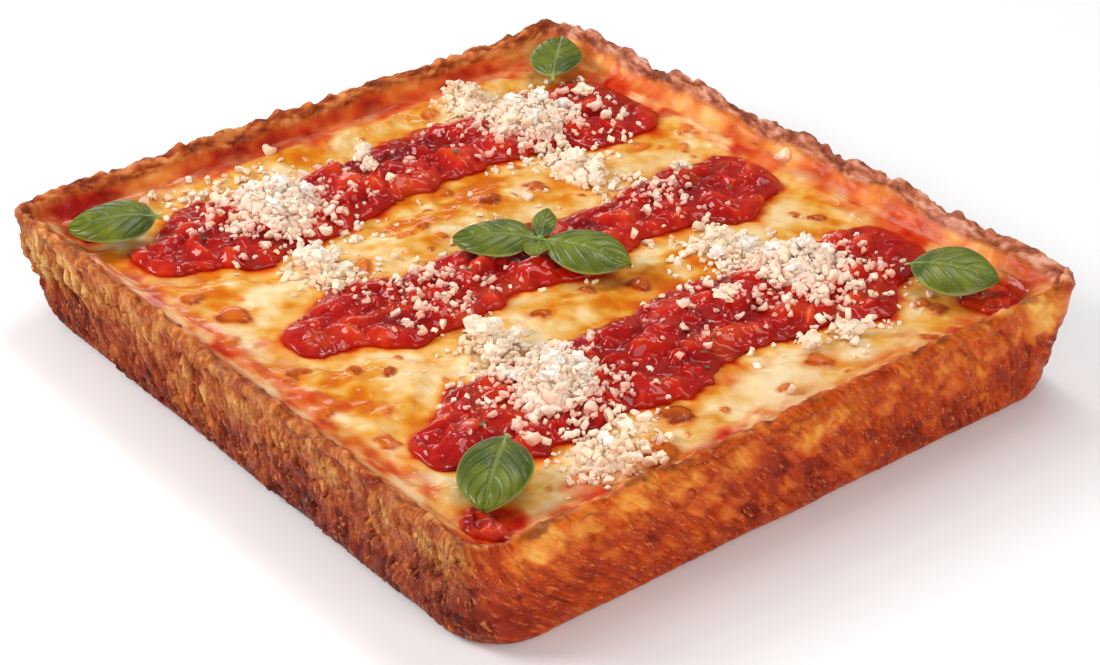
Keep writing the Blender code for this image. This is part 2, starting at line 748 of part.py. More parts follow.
def main():
    clear_scene()
    crust = make_crust()
    cheese = make_cheese()
    bands = [make_object(name, *band_mesh(stations, 0.0), SAUCE_LOOK) for name, stations in BANDS.items()]
    pools = [make_object(name, *pool_mesh(place, 0.0), SAUCE_LOOK) for name, place in POOLS.items()]
    bed = [crust, cheese] + bands + pools
    heaps = []
    for seed, (name, lobes) in enumerate(HEAPS.items()):
        heaps.append(make_heap(name, lobes, cheese, bed, seed + 21))
    add_band_crumbs(bands[1])
    beneath = bed + heaps
    flakes = [make_flake(name, place, beneath, seed) for seed, (name, place) in enumerate(FLAKES.items())]
    beneath = beneath + flakes
    leaves = [make_leaf(name, place, beneath) for name, place in LEAVES.items()]
    sprig = make_sprig(beneath)
    centre_on_origin(beneath + leaves + [sprig])


main()
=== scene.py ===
"""The looks of the detroit-style pizza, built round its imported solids.

Lengths are in metres, except in the tables given to metres() or said to be in millimetres. Every shape is
first made in the solids' own layout and then moved by SHIFT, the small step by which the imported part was
centred on the origin. Colours from 0 to 255 are screen colours, which srgb() turns into linear ones.
"""

import math

import bmesh
import bpy
import numpy as np
from mathutils import Matrix, Vector


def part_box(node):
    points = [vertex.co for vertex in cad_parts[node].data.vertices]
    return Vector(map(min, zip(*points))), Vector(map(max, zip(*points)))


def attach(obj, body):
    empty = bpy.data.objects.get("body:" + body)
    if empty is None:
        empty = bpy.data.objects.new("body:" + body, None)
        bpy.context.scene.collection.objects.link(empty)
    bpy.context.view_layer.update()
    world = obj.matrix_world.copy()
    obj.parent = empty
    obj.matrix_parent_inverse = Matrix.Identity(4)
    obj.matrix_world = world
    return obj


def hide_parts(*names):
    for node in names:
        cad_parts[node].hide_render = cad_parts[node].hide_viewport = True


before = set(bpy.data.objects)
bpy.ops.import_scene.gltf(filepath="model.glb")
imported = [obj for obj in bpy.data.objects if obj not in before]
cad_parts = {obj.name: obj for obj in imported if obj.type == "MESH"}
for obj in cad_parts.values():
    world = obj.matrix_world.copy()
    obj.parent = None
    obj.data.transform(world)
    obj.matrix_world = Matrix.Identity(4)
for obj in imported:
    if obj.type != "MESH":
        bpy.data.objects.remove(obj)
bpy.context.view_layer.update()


def metres(table):
    """A table of millimetres in metres."""
    return np.array(table) / 1000.0


# Camera, as fitted to the photograph's outline of the pizza.
CAMERA_PLACE = (0.5273, -0.3903, 0.3894)
CAMERA_AZIMUTH = 53.0085
CAMERA_ELEVATION = 30.3826
CAMERA_ROLL = -1.6189
CAMERA_LENS = 84.37

# Studio: each light's name, place, the height it aims at over the middle, size and power.
LIGHTS = (
    ("key", (-0.58, -0.72, 0.64), 0.03, (0.45, 0.45), 8.6),
    ("top", (-0.1, 0.40, 1.1), 0.03, (0.5, 0.5), 3.6),
    ("fill", (0.90, -0.30, 0.50), 0.02, (0.9, 0.7), 6.4),
    ("low", (-1.0, 0.38, 0.27), 0.03, (0.46, 0.22), 1.1),
    ("glint", (-0.40, 0.30, 0.95), 0.03, (0.16, 0.16), 1.2),
)
WORLD_STRENGTH = 0.26
FLOOR_HALF = 4.0

# Crust, as in the solids. Its section has rows of inset, height and wander, from the base to the inner slope.
RIM_LENGTH = 0.2400
RIM_WIDTH = 0.2140
RIM_HEIGHT = 0.0365
RIM_RADIUS = 0.0114
WALL_TAPER = 0.0037
BASE_RADIUS = 0.0189
INNER_RADIUS = 0.0080
CORNER_TUCK = 0.0008
CRUST_SECTION = np.array((
    (0.0098, 0.0000, 0.0000), (0.0072, 0.0006, 0.0003), (0.0050, 0.0022, 0.0005), (0.0037, 0.0052, 0.0006),
    (0.0023, 0.0130, 0.0008), (0.0011, 0.0235, 0.0008), (0.0003, 0.0318, 0.0006), (0.0006, 0.0352, 0.0005),
    (0.0017, 0.0365, 0.0004), (0.0033, 0.0362, 0.0004), (0.0050, 0.0345, 0.0006), (0.0070, 0.0316, 0.0007),
    (0.0094, 0.0291, 0.0004),
))
INNER_ROWS = 9
RECESS_INSET = 0.0115
RECESS_EDGE = 0.0276
RECESS_FLOOR = 0.0220
WALL_LUMP = 0.018
CREST_LUMP = 0.015
CREST_RISE = 0.0009
CREST_RISE_BACK = 0.0013
GAP = 0.0003

# Crust, finer than in the solids.
LONG_STEPS = 400
SHORT_STEPS = 352
CORNER_STEPS = 34
SECTION_ROWS = 100
STREAK_STRETCH = 0.48
LEAN_SOFTNESS = 30

# Cheese.
CHEESE_LEVEL = 0.0272
CHEESE_PUFF = 0.0011
CHEESE_CLIMB = 0.0014
CHEESE_STEPS_X = 304
CHEESE_STEPS_Y = 268
CHEESE_OVERLAP = 0.0042
BAND_MARGIN = 0.006

# Sauce. Each band has rows of y and of its left and right edge there.
SAUCE_BASE = 0.0276
SAUCE_FLOOR = SAUCE_BASE - 0.0009
BAND_THICKNESS = 0.0042
BAND_EDGE = 0.0011
BAND_ROWS = 400
BAND_COLUMNS = 84
EDGE_WANDER = 0.0021
BANDS = {
    "sauce_band_left": metres((
        (-87, -78, -69), (-78, -84, -61), (-60, -96, -50), (-35, -88, -53), (-2, -89, -59), (18, -94, -58),
        (45, -87, -57), (68, -91, -47), (84, -90, -48), (93.5, -80, -57),
    )),
    "sauce_band_middle": metres((
        (-79, -7, -1), (-66, -16, 6), (-50, -24, 16), (-30, -18, 15), (-8, -19, 11), (14, -19, 17),
        (36, -15, 10), (52, -19, 11), (68, -20, 21), (82, -17, 14), (92.5, -9, -1),
    )),
    "sauce_band_right": metres((
        (-84, 61, 68), (-76, 53, 74), (-58, 43, 82), (-30, 41, 80), (-10, 43, 85), (12, 39, 77), (42, 42, 81),
        (58, 42, 88), (78, 43, 77), (93.5, 52, 65),
    )),
}

# Puddles of thin sauce: x, y, half length, half width, and the turn in degrees.
POOL_HEIGHT = 0.0017
POOL_RINGS = 14
POOL_SIDES = 72
POOLS = {
    "sauce_pool_front": (0.0984, -0.0892, 0.0084, 0.0045, 2.0),
    "sauce_pool_right": (0.0992, 0.0868, 0.0080, 0.0072, -20.0),
    "sauce_pool_left": (-0.1020, -0.0890, 0.0055, 0.0040, 0.0),
}

# Crushed tomato: how many chunks a band has, the range of their half lengths and how high they may stand.
CHUNKS = ((80, 0.0036, 0.0078, 0.45, 0.95), (240, 0.0013, 0.0032, 0.25, 0.66))
CHUNK_REACH = 0.0024
STRIP_SHARE = 0.22

# Grated cheese: lobes of x, y, half length, half width and height. The first lobe of a heap is its main one.
PATCH = "grated_patch_front"
HEAPS = {
    "grated_heap_back": metres(((-71.5, 55.5, 24, 20, 5.8), (-38, 48, 18, 9.5, 3.6), (-98, 50, 10, 8, 2.4))),
    "grated_heap_left": metres(((-72, -40, 27, 20, 5.6), (-36, -48, 14, 9, 3.4))),
    "grated_heap_right": metres(((54, 54, 25, 20, 5.8), (30, 48, 12, 8, 3.4))),
    "grated_heap_front": metres(((61, -39, 23, 19, 5.6), (31, -37, 12, 8, 3.8))),
    PATCH: metres(((95.5, -48, 11.5, 12.5, 2.0),)),
}

# Clumps on the heaps: x, y and size in millimetres.
CLUMPS = {
    "grated_heap_back": (
        (-38, 47, 8), (-32, 50, 7), (-44, 50, 8), (-48, 46, 6), (-27, 47, 6), (-36, 54, 6),
        (-72, 60, 7), (-66, 52, 6), (-78, 54, 6.5), (-70, 67, 5.5), (-99, 51, 4.5),
    ),
    "grated_heap_left": (
        (-36, -49, 9), (-31, -44, 6.5), (-42, -50, 8), (-38, -43, 6), (-47, -44, 5.5), (-74, -38, 7),
        (-66, -44, 6), (-80, -44, 6), (-70, -31, 6), (-84, -34, 5.5), (-92, -40, 5.5),
    ),
    "grated_heap_right": (
        (29, 48, 9), (34, 54, 8), (26, 43, 6), (33, 44, 6), (56, 56, 7), (50, 50, 6), (61, 48, 6),
        (48, 61, 6), (56, 65, 5),
    ),
    "grated_heap_front": (
        (29, -38, 11), (33, -32, 8), (37, -41, 7), (25, -33, 6), (36, -36, 7), (58, -36, 7.5), (64, -42, 6),
        (52, -44, 5.5), (67, -33, 5), (60, -29, 5.5),
    ),
    PATCH: ((93, -46, 5.5),),
}

# Crumbs dropped on a lobe: their number, spread, size share and creaminess.
CRUMBS_MAIN = (260, 0.48, 1.0, 0.2)
CRUMBS_SIDE = (76, 0.6, 1.0, 0.65)
CRUMBS_FINE = (80, 0.34, 0.7, 0.1)
CRUMBS_AROUND = (220, 0.85, 0.8, 0.2)
STREWN_LIMIT = 1.7
CRUMB_SINK = 0.28
CRUMB_CEILING = 0.0412
CLUMP_CEILING = CRUMB_CEILING + 0.0002
SCATTERED_SPREAD = 0.62
SCATTERED_SIZE = 0.92

# A heap's packed middle: its share of the lobe, how softly it lies, and its rings and sides.
CORE_SHARE = 0.58
CORE_SOFTNESS = 7
CORE_CUTS = (72, 240)
CORE_CUTS_SIDE = (36, 130)

# Crumbs that belong to no heap: x, y, half length, half width in millimetres, number, creaminess.
SCATTERED = (
    (-5, 53, 13.5, 11, 64, 0.25), (-1, -33, 15, 14, 96, 0.25), (-104, -47, 10, 15, 40, 0.7),
    (-106, 52, 9, 11, 34, 0.7), (98, -49, 10, 14, 60, 0.75), (88, 38, 10, 12, 26, 0.6),
    (-75, -6, 16, 12, 16, 0.4), (60, 22, 16, 12, 14, 0.4), (64, 5, 14, 12, 12, 0.3),
    (-20, -46, 12, 12, 26, 0.7),
    (18, 48, 9, 12, 26, 0.7), (12, -42, 10, 10, 20, 0.7), (75, 60, 12, 14, 26, 0.4), (0, 0, 75, 62, 90, 0.6),
)

# Larger crumbs that lie alone: x, y, size.
LONE = (
    (-0.0015, 0.0995, 0.0056), (-0.1090, -0.0205, 0.0042), (-0.1095, -0.0480, 0.0034),
    (-0.1060, -0.0440, 0.0028),
)

# Large chips: x, y, length, width, and the turn in degrees.
FLAKES = {
    "flake_left_outer": (-0.0825, -0.0015, 0.0105, 0.0055, 130.0),
    "flake_left_inner": (-0.0740, -0.0050, 0.0085, 0.0050, 150.0),
    "flake_back": (-0.0735, 0.0785, 0.0080, 0.0050, 20.0),
    "flake_middle": (-0.0110, 0.0670, 0.0075, 0.0042, 40.0),
    "flake_band_right": (0.0585, 0.0235, 0.0080, 0.0055, 10.0),
    "flake_right": (0.0885, 0.0435, 0.0100, 0.0080, 70.0),
    "flake_right_low": (0.0870, 0.0310, 0.0080, 0.0065, 110.0),
}
FLAKE_HEIGHT = 0.0042

# Basil: base, tip, width, roll in degrees, arch, bow.
LEAF_THICKNESS = 0.0006
LEAF_WAVE = 0.0005
LEAF_USUAL_LENGTH = 0.028
STALK_SHARE = 0.07
LEAF_ROWS = 112
LEAF_COLUMNS = 56
LEAVES = {
    "basil_left": ((-0.0846, -0.0725, 0.0350), (-0.0960, -0.0976, 0.0345), 0.0190, -14.0, 0.0030, 0.0024),
    "basil_back": ((-0.0878, 0.0770, 0.0330), (-0.1075, 0.0955, 0.0360), 0.0176, 0.0, 0.0026, 0.0022),
    "basil_right": ((0.0782, 0.0746, 0.0350), (0.1020, 0.0880, 0.0345), 0.0195, 14.0, 0.0030, 0.0022),
    "basil_front": ((0.0787, -0.0669, 0.0350), (0.0969, -0.0883, 0.0300), 0.0196, 0.0, 0.0026, 0.0022),
}
SPRIG_KNOT = (-0.0002, 0.0045, 0.0350)
SPRIG_KNOT_RADIUS = 0.0013
SPRIG = (
    (SPRIG_KNOT, (-0.0172, -0.0145, 0.0345), 0.0165, -14.0, 0.0024, 0.0020),
    (SPRIG_KNOT, (0.0270, 0.0162, 0.0335), 0.0175, 14.0, 0.0026, 0.0022),
    (SPRIG_KNOT, (-0.0074, 0.0131, 0.0390), 0.0075, 0.0, 0.0008, 0.0008),
    (SPRIG_KNOT, (0.0064, -0.0028, 0.0350), 0.0078, 0.0, 0.0008, 0.0008),
)

# Dried herb flecks in the sauce: x, y in millimetres, and their half sizes.
HERBS = (
    (62, -62), (66, -66), (57, -58), (74, 3), (78, 1), (2, -17), (-2, -20), (-66, 22), (-72, -66), (4, 74),
)
HERB_SIZE = (0.0011, 0.0006, 0.0002)

# The grid on which the toppings' heights are kept while crumbs are dropped.
RASTER_STEP = 0.0004
RASTER_HALF = (0.124, 0.111)

# Browned blisters in the cheese: x, y, radius, height, brownness, all in millimetres but the last.
BLISTERS = (
    (-47, 74, 2.0, 0.5, 0.6), (-38, 74, 3.2, 0.6, 0.55), (-39, 15, 4.2, 1.3, 0.95), (-38, 32, 3.4, 0.8, 0.8),
    (-53, 9, 2.6, 0.8, 0.8), (-38, -10, 2.6, 0.8, 0.8), (-30, -9, 2.0, 0.6, 0.6), (-38, -18, 2.0, 0.6, 0.7),
    (-31, -38, 3.4, 0.7, 0.65), (29, 18, 4.0, 1.1, 0.95), (24, 3, 3.0, 0.8, 0.85), (25, -15, 3.2, 0.9, 0.9),
    (-45, -86, 4.2, 0.9, 0.7), (-30, -82, 4.8, 1.0, 0.75), (7, -84, 3.2, 0.9, 0.8), (18, -73, 2.8, 0.9, 0.75),
    (23, -66, 3.0, 1.0, 0.95), (9, -87, 2.2, 0.6, 0.7), (32, -91, 2.0, 0.6, 0.7), (52, -86, 2.8, 0.7, 0.7),
    (90, -20, 5.4, 1.4, 1.0), (94, 27, 4.2, 1.0, 0.85), (94, 72, 3.4, 0.8, 0.8), (89, 72, 2.4, 0.6, 0.7),
    (105, 57, 2.6, 0.5, 0.8), (102, -36, 5.6, 0.8, 0.75), (79, 85, 2.0, 0.5, 0.7), (-103, -3, 3.2, 0.6, 0.35),
    (-100, 37, 3.0, 0.6, 0.55), (-115, 32, 2.6, 0.6, 0.5), (32, 84, 2.2, 0.6, 0.9), (24, 97, 1.8, 0.5, 0.8),
    (99, 10, 2.4, 0.6, 0.6), (97, -8, 1.9, 0.5, 0.6), (-38, 92, 2.6, 0.6, 0.6), (-30, 84, 2.0, 0.5, 0.5),
    (40, -78, 1.8, 0.5, 0.6), (-17, -90, 2.2, 0.5, 0.5), (-62, -93, 2.2, 0.5, 0.5), (-55, 84, 1.6, 0.5, 0.4),
)
SMALL_BLISTERS = 46
SMALL_BLISTER_REACH = (104, 92)

# Golden, oily patches of the cheese, and warm painted shade under the basil leaves at (-99, -86), (-84, -90)
# and (24, 12): x, y, half length, half width in millimetres, strength.
GOLDEN_AND_LEAF_SHADE = (
    (-45, 8, 13, 34, 1.0), (-30, 36, 9, 12, 0.7), (30, 16, 9, 22, 0.9), (24, -8, 10, 11, 0.7),
    (-40, 82, 12, 12, 0.5), (-30, -14, 9, 12, 0.45), (-44, -80, 20, 9, 0.6), (20, -80, 12, 7, 0.5),
    (92, 25, 6, 14, 0.4), (-104, 34, 8, 14, 0.45), (30, 92, 16, 8, 0.45), (-46, -62, 9, 9, 0.4),
    (90, -20, 9, 10, 0.6), (-101, -12, 7, 12, 0.4), (22, -36, 8, 9, 0.4), (46, -92, 14, 5, 0.4),
    (-99, -86, 9, 10, 0.7), (-84, -90, 12, 9, 1.0), (42, -74, 9, 6, 0.45), (24, 12, 8, 8, 0.7),
    (-96, 82, 8, 8, 0.5), (88, 76, 9, 9, 0.3), (30, -84, 13, 7, 0.6), (4, -84, 10, 6, 0.4),
)

# Milky patches of the cheese: the same.
MILKY_PATCHES = (
    (95, 14, 8, 30, 0.8), (88, 62, 8, 12, 0.6), (84, -28, 6, 12, 0.5), (-66, -84, 12, 7, 0.6),
    (-16, -88, 14, 6, 0.7), (2, -74, 8, 10, 0.6), (22, 74, 8, 14, 0.6), (-22, 72, 10, 12, 0.4),
    (70, 84, 12, 8, 0.6), (30, -58, 7, 8, 0.4), (-94, 60, 8, 10, 0.4),
)

# Red tomato stains on the cheese and the crust: the same.
STAINS = (
    (105, -14, 4, 7, 0.75), (101, -58, 6, 7, 0.7), (99, -37, 6, 5, 0.45), (-12, -83, 6, 4, 0.4),
    (99, -86, 12, 7, 0.9), (101, 90, 9, 10, 1.0), (-108, -90, 8, 8, 0.8), (-104, 92, 14, 10, 0.45),
    (38, -78, 6, 4, 0.3), (-70, 99, 14, 5, 0.45), (20, 99, 30, 4, 0.2), (-112, 0, 6, 60, 0.25),
    (-112, 60, 6, 36, 0.4), (-108, -4, 5, 7, 0.8), (-109, -38, 4, 8, 0.6), (-109, 30, 3, 9, 0.5),
    (0, -92, 70, 4, 0.4), (27, -87, 8, 4, 0.5), (60, 98, 24, 5, 0.3), (-3, 96, 14, 4, 0.4),
    (84, 6, 4, 12, 0.25), (-78, 95, 12, 6, 0.8), (-4, 95, 8, 4, 0.5), (58, 96, 10, 5, 0.7),
    (104, 88, 8, 12, 0.85), (-112, -86, 5, 11, 0.95),
)

# Golden patches on the walls: x, y, z, size in millimetres, strength.
GILDED = (
    (119, 86, 30, 10, 1.0), (119, 78, 28, 7, 0.7), (119, 70, 26, 6, 0.5), (119, 49, 27, 8, 0.8),
    (119, 30, 31, 7, 0.5), (119, 8, 29, 7, 0.7), (118, -1, 24, 7, 0.8), (118, -4, 16, 6, 0.7),
    (117, 45, 11, 6, 0.6), (117, -24, 15, 6, 0.6), (119, -20, 31, 7, 0.5), (119, -42, 30, 7, 0.6),
    (119, -60, 33, 8, 0.8), (119, -75, 33, 8, 0.7), (119, 28, 25, 6, 0.8), (119, 51, 20, 6, 0.6),
    (119, 12, 10, 5, 0.5), (118, -34, 22, 6, 0.6), (118, 66, 12, 6, 0.5), (118, -50, 12, 6, 0.5),
    (118, -85, 31, 8, 0.8), (117, -96, 33, 6, 0.7), (112, -103, 33, 7, 0.9), (98, -106, 29, 7, 0.8),
    (116, 96, 30, 7, 0.9), (118, 62, 19, 5, 0.4), (117, -66, 18, 5, 0.4), (117, 20, 12, 5, 0.4),
    (-99, -106, 30, 11, 0.9), (-112, -98, 28, 9, 0.9), (-82, -106, 31, 8, 0.7), (-70, -106, 28, 7, 0.7),
    (-53, -106, 27, 7, 0.7), (-30, -106, 30, 8, 0.6), (-10, -106, 24, 6, 0.6), (12, -106, 29, 8, 0.7),
    (34, -106, 27, 7, 0.6), (54, -106, 27, 7, 0.7), (75, -104, 14, 6, 0.6), (80, -106, 30, 7, 0.6),
    (10, -104, 12, 5, 0.4), (-36, -104, 14, 5, 0.4), (-118, 20, 28, 9, 0.5), (-118, -50, 30, 9, 0.6),
    (-118, 70, 26, 9, 0.5), (-60, 106, 29, 9, 0.5), (10, 106, 27, 9, 0.6), (70, 106, 30, 9, 0.5),
)


def srgb(red, green, blue):
    """A screen colour from 0 to 255 as the linear values that a shader takes."""
    value = np.array((red, green, blue)) / 255.0
    return np.where(value <= 0.04045, value / 12.92, ((value + 0.055) / 1.055) ** 2.4)


def ramp(*stops):
    """A run of colours, from stops of place, red, green and blue."""
    return [(stop[0], srgb(*stop[1:])) for stop in stops]


# Runs of colour: the walls, the rims (the back one's partly a painted sheen), the inner slope and the smears
# on it, the cheese and the sauce.
RED_BROWN = ramp(
    (0.00, 240, 190, 120), (0.20, 218, 150, 78), (0.42, 190, 100, 40), (0.62, 166, 62, 22),
    (0.80, 134, 40, 14), (1.00, 84, 14, 4),
)
ORANGE_BROWN = ramp(
    (0.00, 240, 186, 98), (0.20, 232, 154, 58), (0.42, 214, 104, 22), (0.62, 190, 64, 6),
    (0.80, 160, 42, 6), (1.00, 116, 22, 2),
)
RIM_NEAR = ramp((0.0, 112, 38, 12), (0.35, 168, 76, 26), (0.65, 202, 114, 46), (1.0, 234, 172, 100))
RIM_BACK_LEFT = ramp((0.0, 112, 36, 16), (0.35, 158, 66, 28), (0.65, 194, 98, 46), (1.0, 224, 144, 80))
# The back rim's pinkish brown, which is partly a painted sheen.
RIM_BACK_SHEEN = ramp((0.0, 112, 48, 34), (0.35, 158, 86, 64), (0.65, 194, 120, 92), (1.0, 226, 168, 142))
SLOPE = ramp(
    (0.0, 240, 178, 98), (0.3, 230, 136, 60), (0.6, 204, 84, 32), (0.85, 170, 42, 18), (1.0, 136, 20, 8),
)
SMEAR = ramp((0.0, 186, 38, 14), (0.25, 210, 86, 34), (0.55, 226, 142, 74), (1.0, 234, 192, 142))
MELTED = ramp(
    (0.00, 204, 100, 4), (0.25, 214, 127, 14), (0.50, 224, 162, 68), (0.75, 231, 187, 116),
    (1.00, 240, 213, 164),
)
TOMATO = ramp(
    (0.0, 122, 2, 2), (0.35, 166, 10, 6), (0.65, 194, 32, 12), (0.85, 210, 58, 20), (1.0, 222, 90, 34),
)

# Single colours, among them painted shade (the groove's shadow, the crumbs' shaded and pink-shaded
# undersides, and sauce in shade between crumbs), and the share of each light that a clear stain lets through.
GROOVE_SHADOW = srgb(110, 42, 16)
MILK = srgb(238, 216, 176)
HALO = srgb(216, 118, 22)
TOAST = srgb(212, 106, 26)
DARK_TOAST = srgb(140, 50, 10)
DEEP_STAIN = srgb(176, 20, 12)
SAUCE_ORANGE = srgb(212, 72, 24)
SAUCE_THIN = srgb(180, 32, 10)
POOL_DARK = srgb(150, 8, 6)
POOL_LIGHT = srgb(216, 62, 24)
MILKY = srgb(255, 246, 236)
WHITE = srgb(252, 232, 213)
CREAM = srgb(251, 224, 187)
SHADED = srgb(232, 168, 122)
SHADED_SAUCE = srgb(150, 24, 16)
PINK_SHADE_ON_SAUCE = srgb(236, 128, 106)
LEAF_DARK = srgb(68, 84, 2)
LEAF_LIGHT = srgb(118, 126, 10)
LEAF_SHADOW = srgb(44, 66, 2)
LEAF_VEIN = srgb(160, 176, 82)
LEAF_RIB = srgb(178, 194, 112)
LEAF_EDGE = srgb(172, 180, 96)
LEAF_STALK = srgb(150, 172, 80)
KNOT_GREEN = srgb(120, 150, 60)
HERB_GREEN = (0.1, 0.1, 0.03)
RED_STAIN = (0.74, 0.11, 0.07)
ORANGE_STAIN = (0.94, 0.42, 0.10)


def centring_shift():
    """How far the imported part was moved: its cheese is even about the middle of the layout."""
    low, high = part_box("cheese")
    return np.array(((low.x + high.x) / 2, (low.y + high.y) / 2, low.z - RECESS_FLOOR - GAP))


SHIFT = centring_shift()


# Numbers, colours and noise.


def unit(value):
    return np.clip(value, 0.0, 1.0)


def smooth_step(low, high, value):
    share = unit((value - low) / (high - low))
    return share * share * (3.0 - 2.0 * share)


def between(value, low, full, fading, gone):
    """1 inside a range with soft ends, and 0 outside it."""
    return smooth_step(low, full, value) * (1.0 - smooth_step(fading, gone, value))


def blend(first, second, share):
    return first + (second - first) * unit(np.asarray(share, float))[..., None]


def soaked(colour, tint, share):
    """A colour with a clear stain of another soaked into it."""
    return colour * np.asarray(tint) ** unit(share)[..., None]


def ramp_colours(values, stops):
    """Colours for values from 0 to 1, between the stops of a ramp."""
    places = [stop[0] for stop in stops]
    return np.stack([np.interp(values, places, [stop[1][i] for stop in stops]) for i in range(3)], -1)


# Random values on a lattice that repeats after so many cells.
LATTICE = 32
TABLE = np.random.default_rng(11).uniform(-1.0, 1.0, (LATTICE, LATTICE, LATTICE))
JITTER = np.random.default_rng(12).uniform(0.0, 1.0, (LATTICE, LATTICE, LATTICE, 3))


def noise(points, lump, shift=0.0):
    """Smooth lumps of about the given size, from -1 to 1, at points whose last axis is x, y, z."""
    scaled = np.asarray(points, float) / lump + shift
    cell = np.floor(scaled).astype(int)
    part = scaled - cell
    part = part * part * (3.0 - 2.0 * part)
    total = np.zeros(scaled.shape[:-1])
    for step in np.ndindex(2, 2, 2):
        weight = 1.0
        for axis in range(3):
            weight = weight * np.abs(1 - step[axis] - part[..., axis])
        total += weight * TABLE[tuple((cell[..., axis] + step[axis]) % LATTICE for axis in range(3))]
    return total


def flakes(points, size, shift=0.0):
    """Flakes of a size: each one's tilted height, its own value, and 0 at its edge to 1 inside."""
    scaled = np.asarray(points, float) / size + shift
    corner = np.floor(scaled).astype(int)
    nearest = np.full(scaled.shape[:-1], 9.0)
    second = np.full(scaled.shape[:-1], 9.0)
    value = np.zeros(scaled.shape[:-1])
    tilt = np.zeros(scaled.shape[:-1])
    for step in np.ndindex(3, 3, 3):
        cell = corner + np.array(step) - 1
        index = tuple(np.moveaxis(cell % LATTICE, -1, 0))
        off = scaled - cell - JITTER[index]
        away = np.linalg.norm(off, axis=-1)
        closer = away < nearest
        second = np.where(closer, nearest, np.minimum(second, away))
        nearest = np.where(closer, away, nearest)
        value = np.where(closer, TABLE[index], value)
        tilt = np.where(closer, (off * (JITTER[index] - 0.5)).sum(-1), tilt)
    return size * tilt, value, smooth_step(0.0, 0.22, second - nearest)


def warped(points, lump, amount, shift=0.0):
    """Points pushed about by noise, so that what is drawn on them looks uneven."""
    push = [noise(points, lump, shift + 3.7 * axis) for axis in range(3)]
    return points + amount * np.stack(push, -1)


def layered(points, lump, layers, shift=0.0):
    """Noise with finer and fainter layers on top, still about -1 to 1."""
    total = np.zeros(np.shape(points)[:-1])
    for layer in range(layers):
        total += noise(points, lump / 2**layer, shift + 7.31 * layer) * 0.55**layer
    return total


def flat(x, y):
    x, y = np.broadcast_arrays(np.asarray(x, float), np.asarray(y, float))
    return np.stack((x, y, np.zeros(x.shape)), -1)


def flat_noise(x, y, lump, layers=1, shift=0.0):
    return layered(flat(x, y), lump, layers, shift)


# Meshes.


def ring_faces(lower, upper):
    """Quads between two rings of points, given by their numbers."""
    count = len(lower)
    return [(lower[i], lower[(i + 1) % count], upper[(i + 1) % count], upper[i]) for i in range(count)]


def stack_faces(rings, sides):
    """Quads between rings of points, each numbered in order after the one before."""
    starts = range(0, rings * sides, sides)
    pairs = [(range(start, start + sides), range(start + sides, start + 2 * sides)) for start in starts[:-1]]
    return [face for lower, upper in pairs for face in ring_faces(lower, upper)]


def flipped(faces):
    return [face[::-1] for face in faces]


def grid_faces(columns, rows):
    """Quads between rows of points, each row with one point more than the columns."""
    faces = []
    for row in range(rows):
        start = row * (columns + 1)
        faces += [(a, a + 1, a + columns + 2, a + columns + 1) for a in range(start, start + columns)]
    return faces


def grid_border(columns, rows):
    """The numbers of a grid's outer points, counter-clockwise."""
    width = columns + 1
    border = list(range(columns))
    border += [columns + row * width for row in range(rows)]
    border += [rows * width + columns - step for step in range(columns)]
    border += [(rows - row) * width for row in range(rows)]
    return border


def closed_sheet(top, columns, rows, floor):
    """A grid's points and faces, closed by a skirt and a flat underside at the given height."""
    border = grid_border(columns, rows)
    bottom = top[border].copy()
    bottom[:, 2] = floor
    under = range(len(top), len(top) + len(border))
    faces = grid_faces(columns, rows) + ring_faces(under, border)
    faces.append(tuple(under)[::-1])
    return np.vstack((top, bottom)), faces, border


def keep_on_points(mesh, name, kind, field, values):
    kept = mesh.attributes.new(name, kind, "POINT")
    kept.data.foreach_set(field, np.asarray(values, np.float32).ravel())


def make_piece(name, vertices, faces, tints, material, slot, replaced=(), extra=None, smooth=True):
    """A finished piece of the pizza, with its colours and other values kept on its points."""
    mesh = bpy.data.meshes.new(name)
    mesh.from_pydata((np.asarray(vertices) + SHIFT).tolist(), [], faces)
    keep_on_points(mesh, "tint", "FLOAT_COLOR", "color", np.column_stack((tints, np.ones(len(tints)))))
    for key, values in (extra or {}).items():
        kind, field = ("FLOAT", "value") if values.ndim == 1 else ("FLOAT_VECTOR", "vector")
        keep_on_points(mesh, key, kind, field, values)
    mesh.polygons.foreach_set("use_smooth", np.full(len(mesh.polygons), smooth))
    mesh.materials.append(material)
    mesh.update()
    piece = bpy.data.objects.new(name, mesh)
    bpy.context.scene.collection.objects.link(piece)
    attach(piece, "root")
    if replaced:
        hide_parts(*replaced)


# Materials.


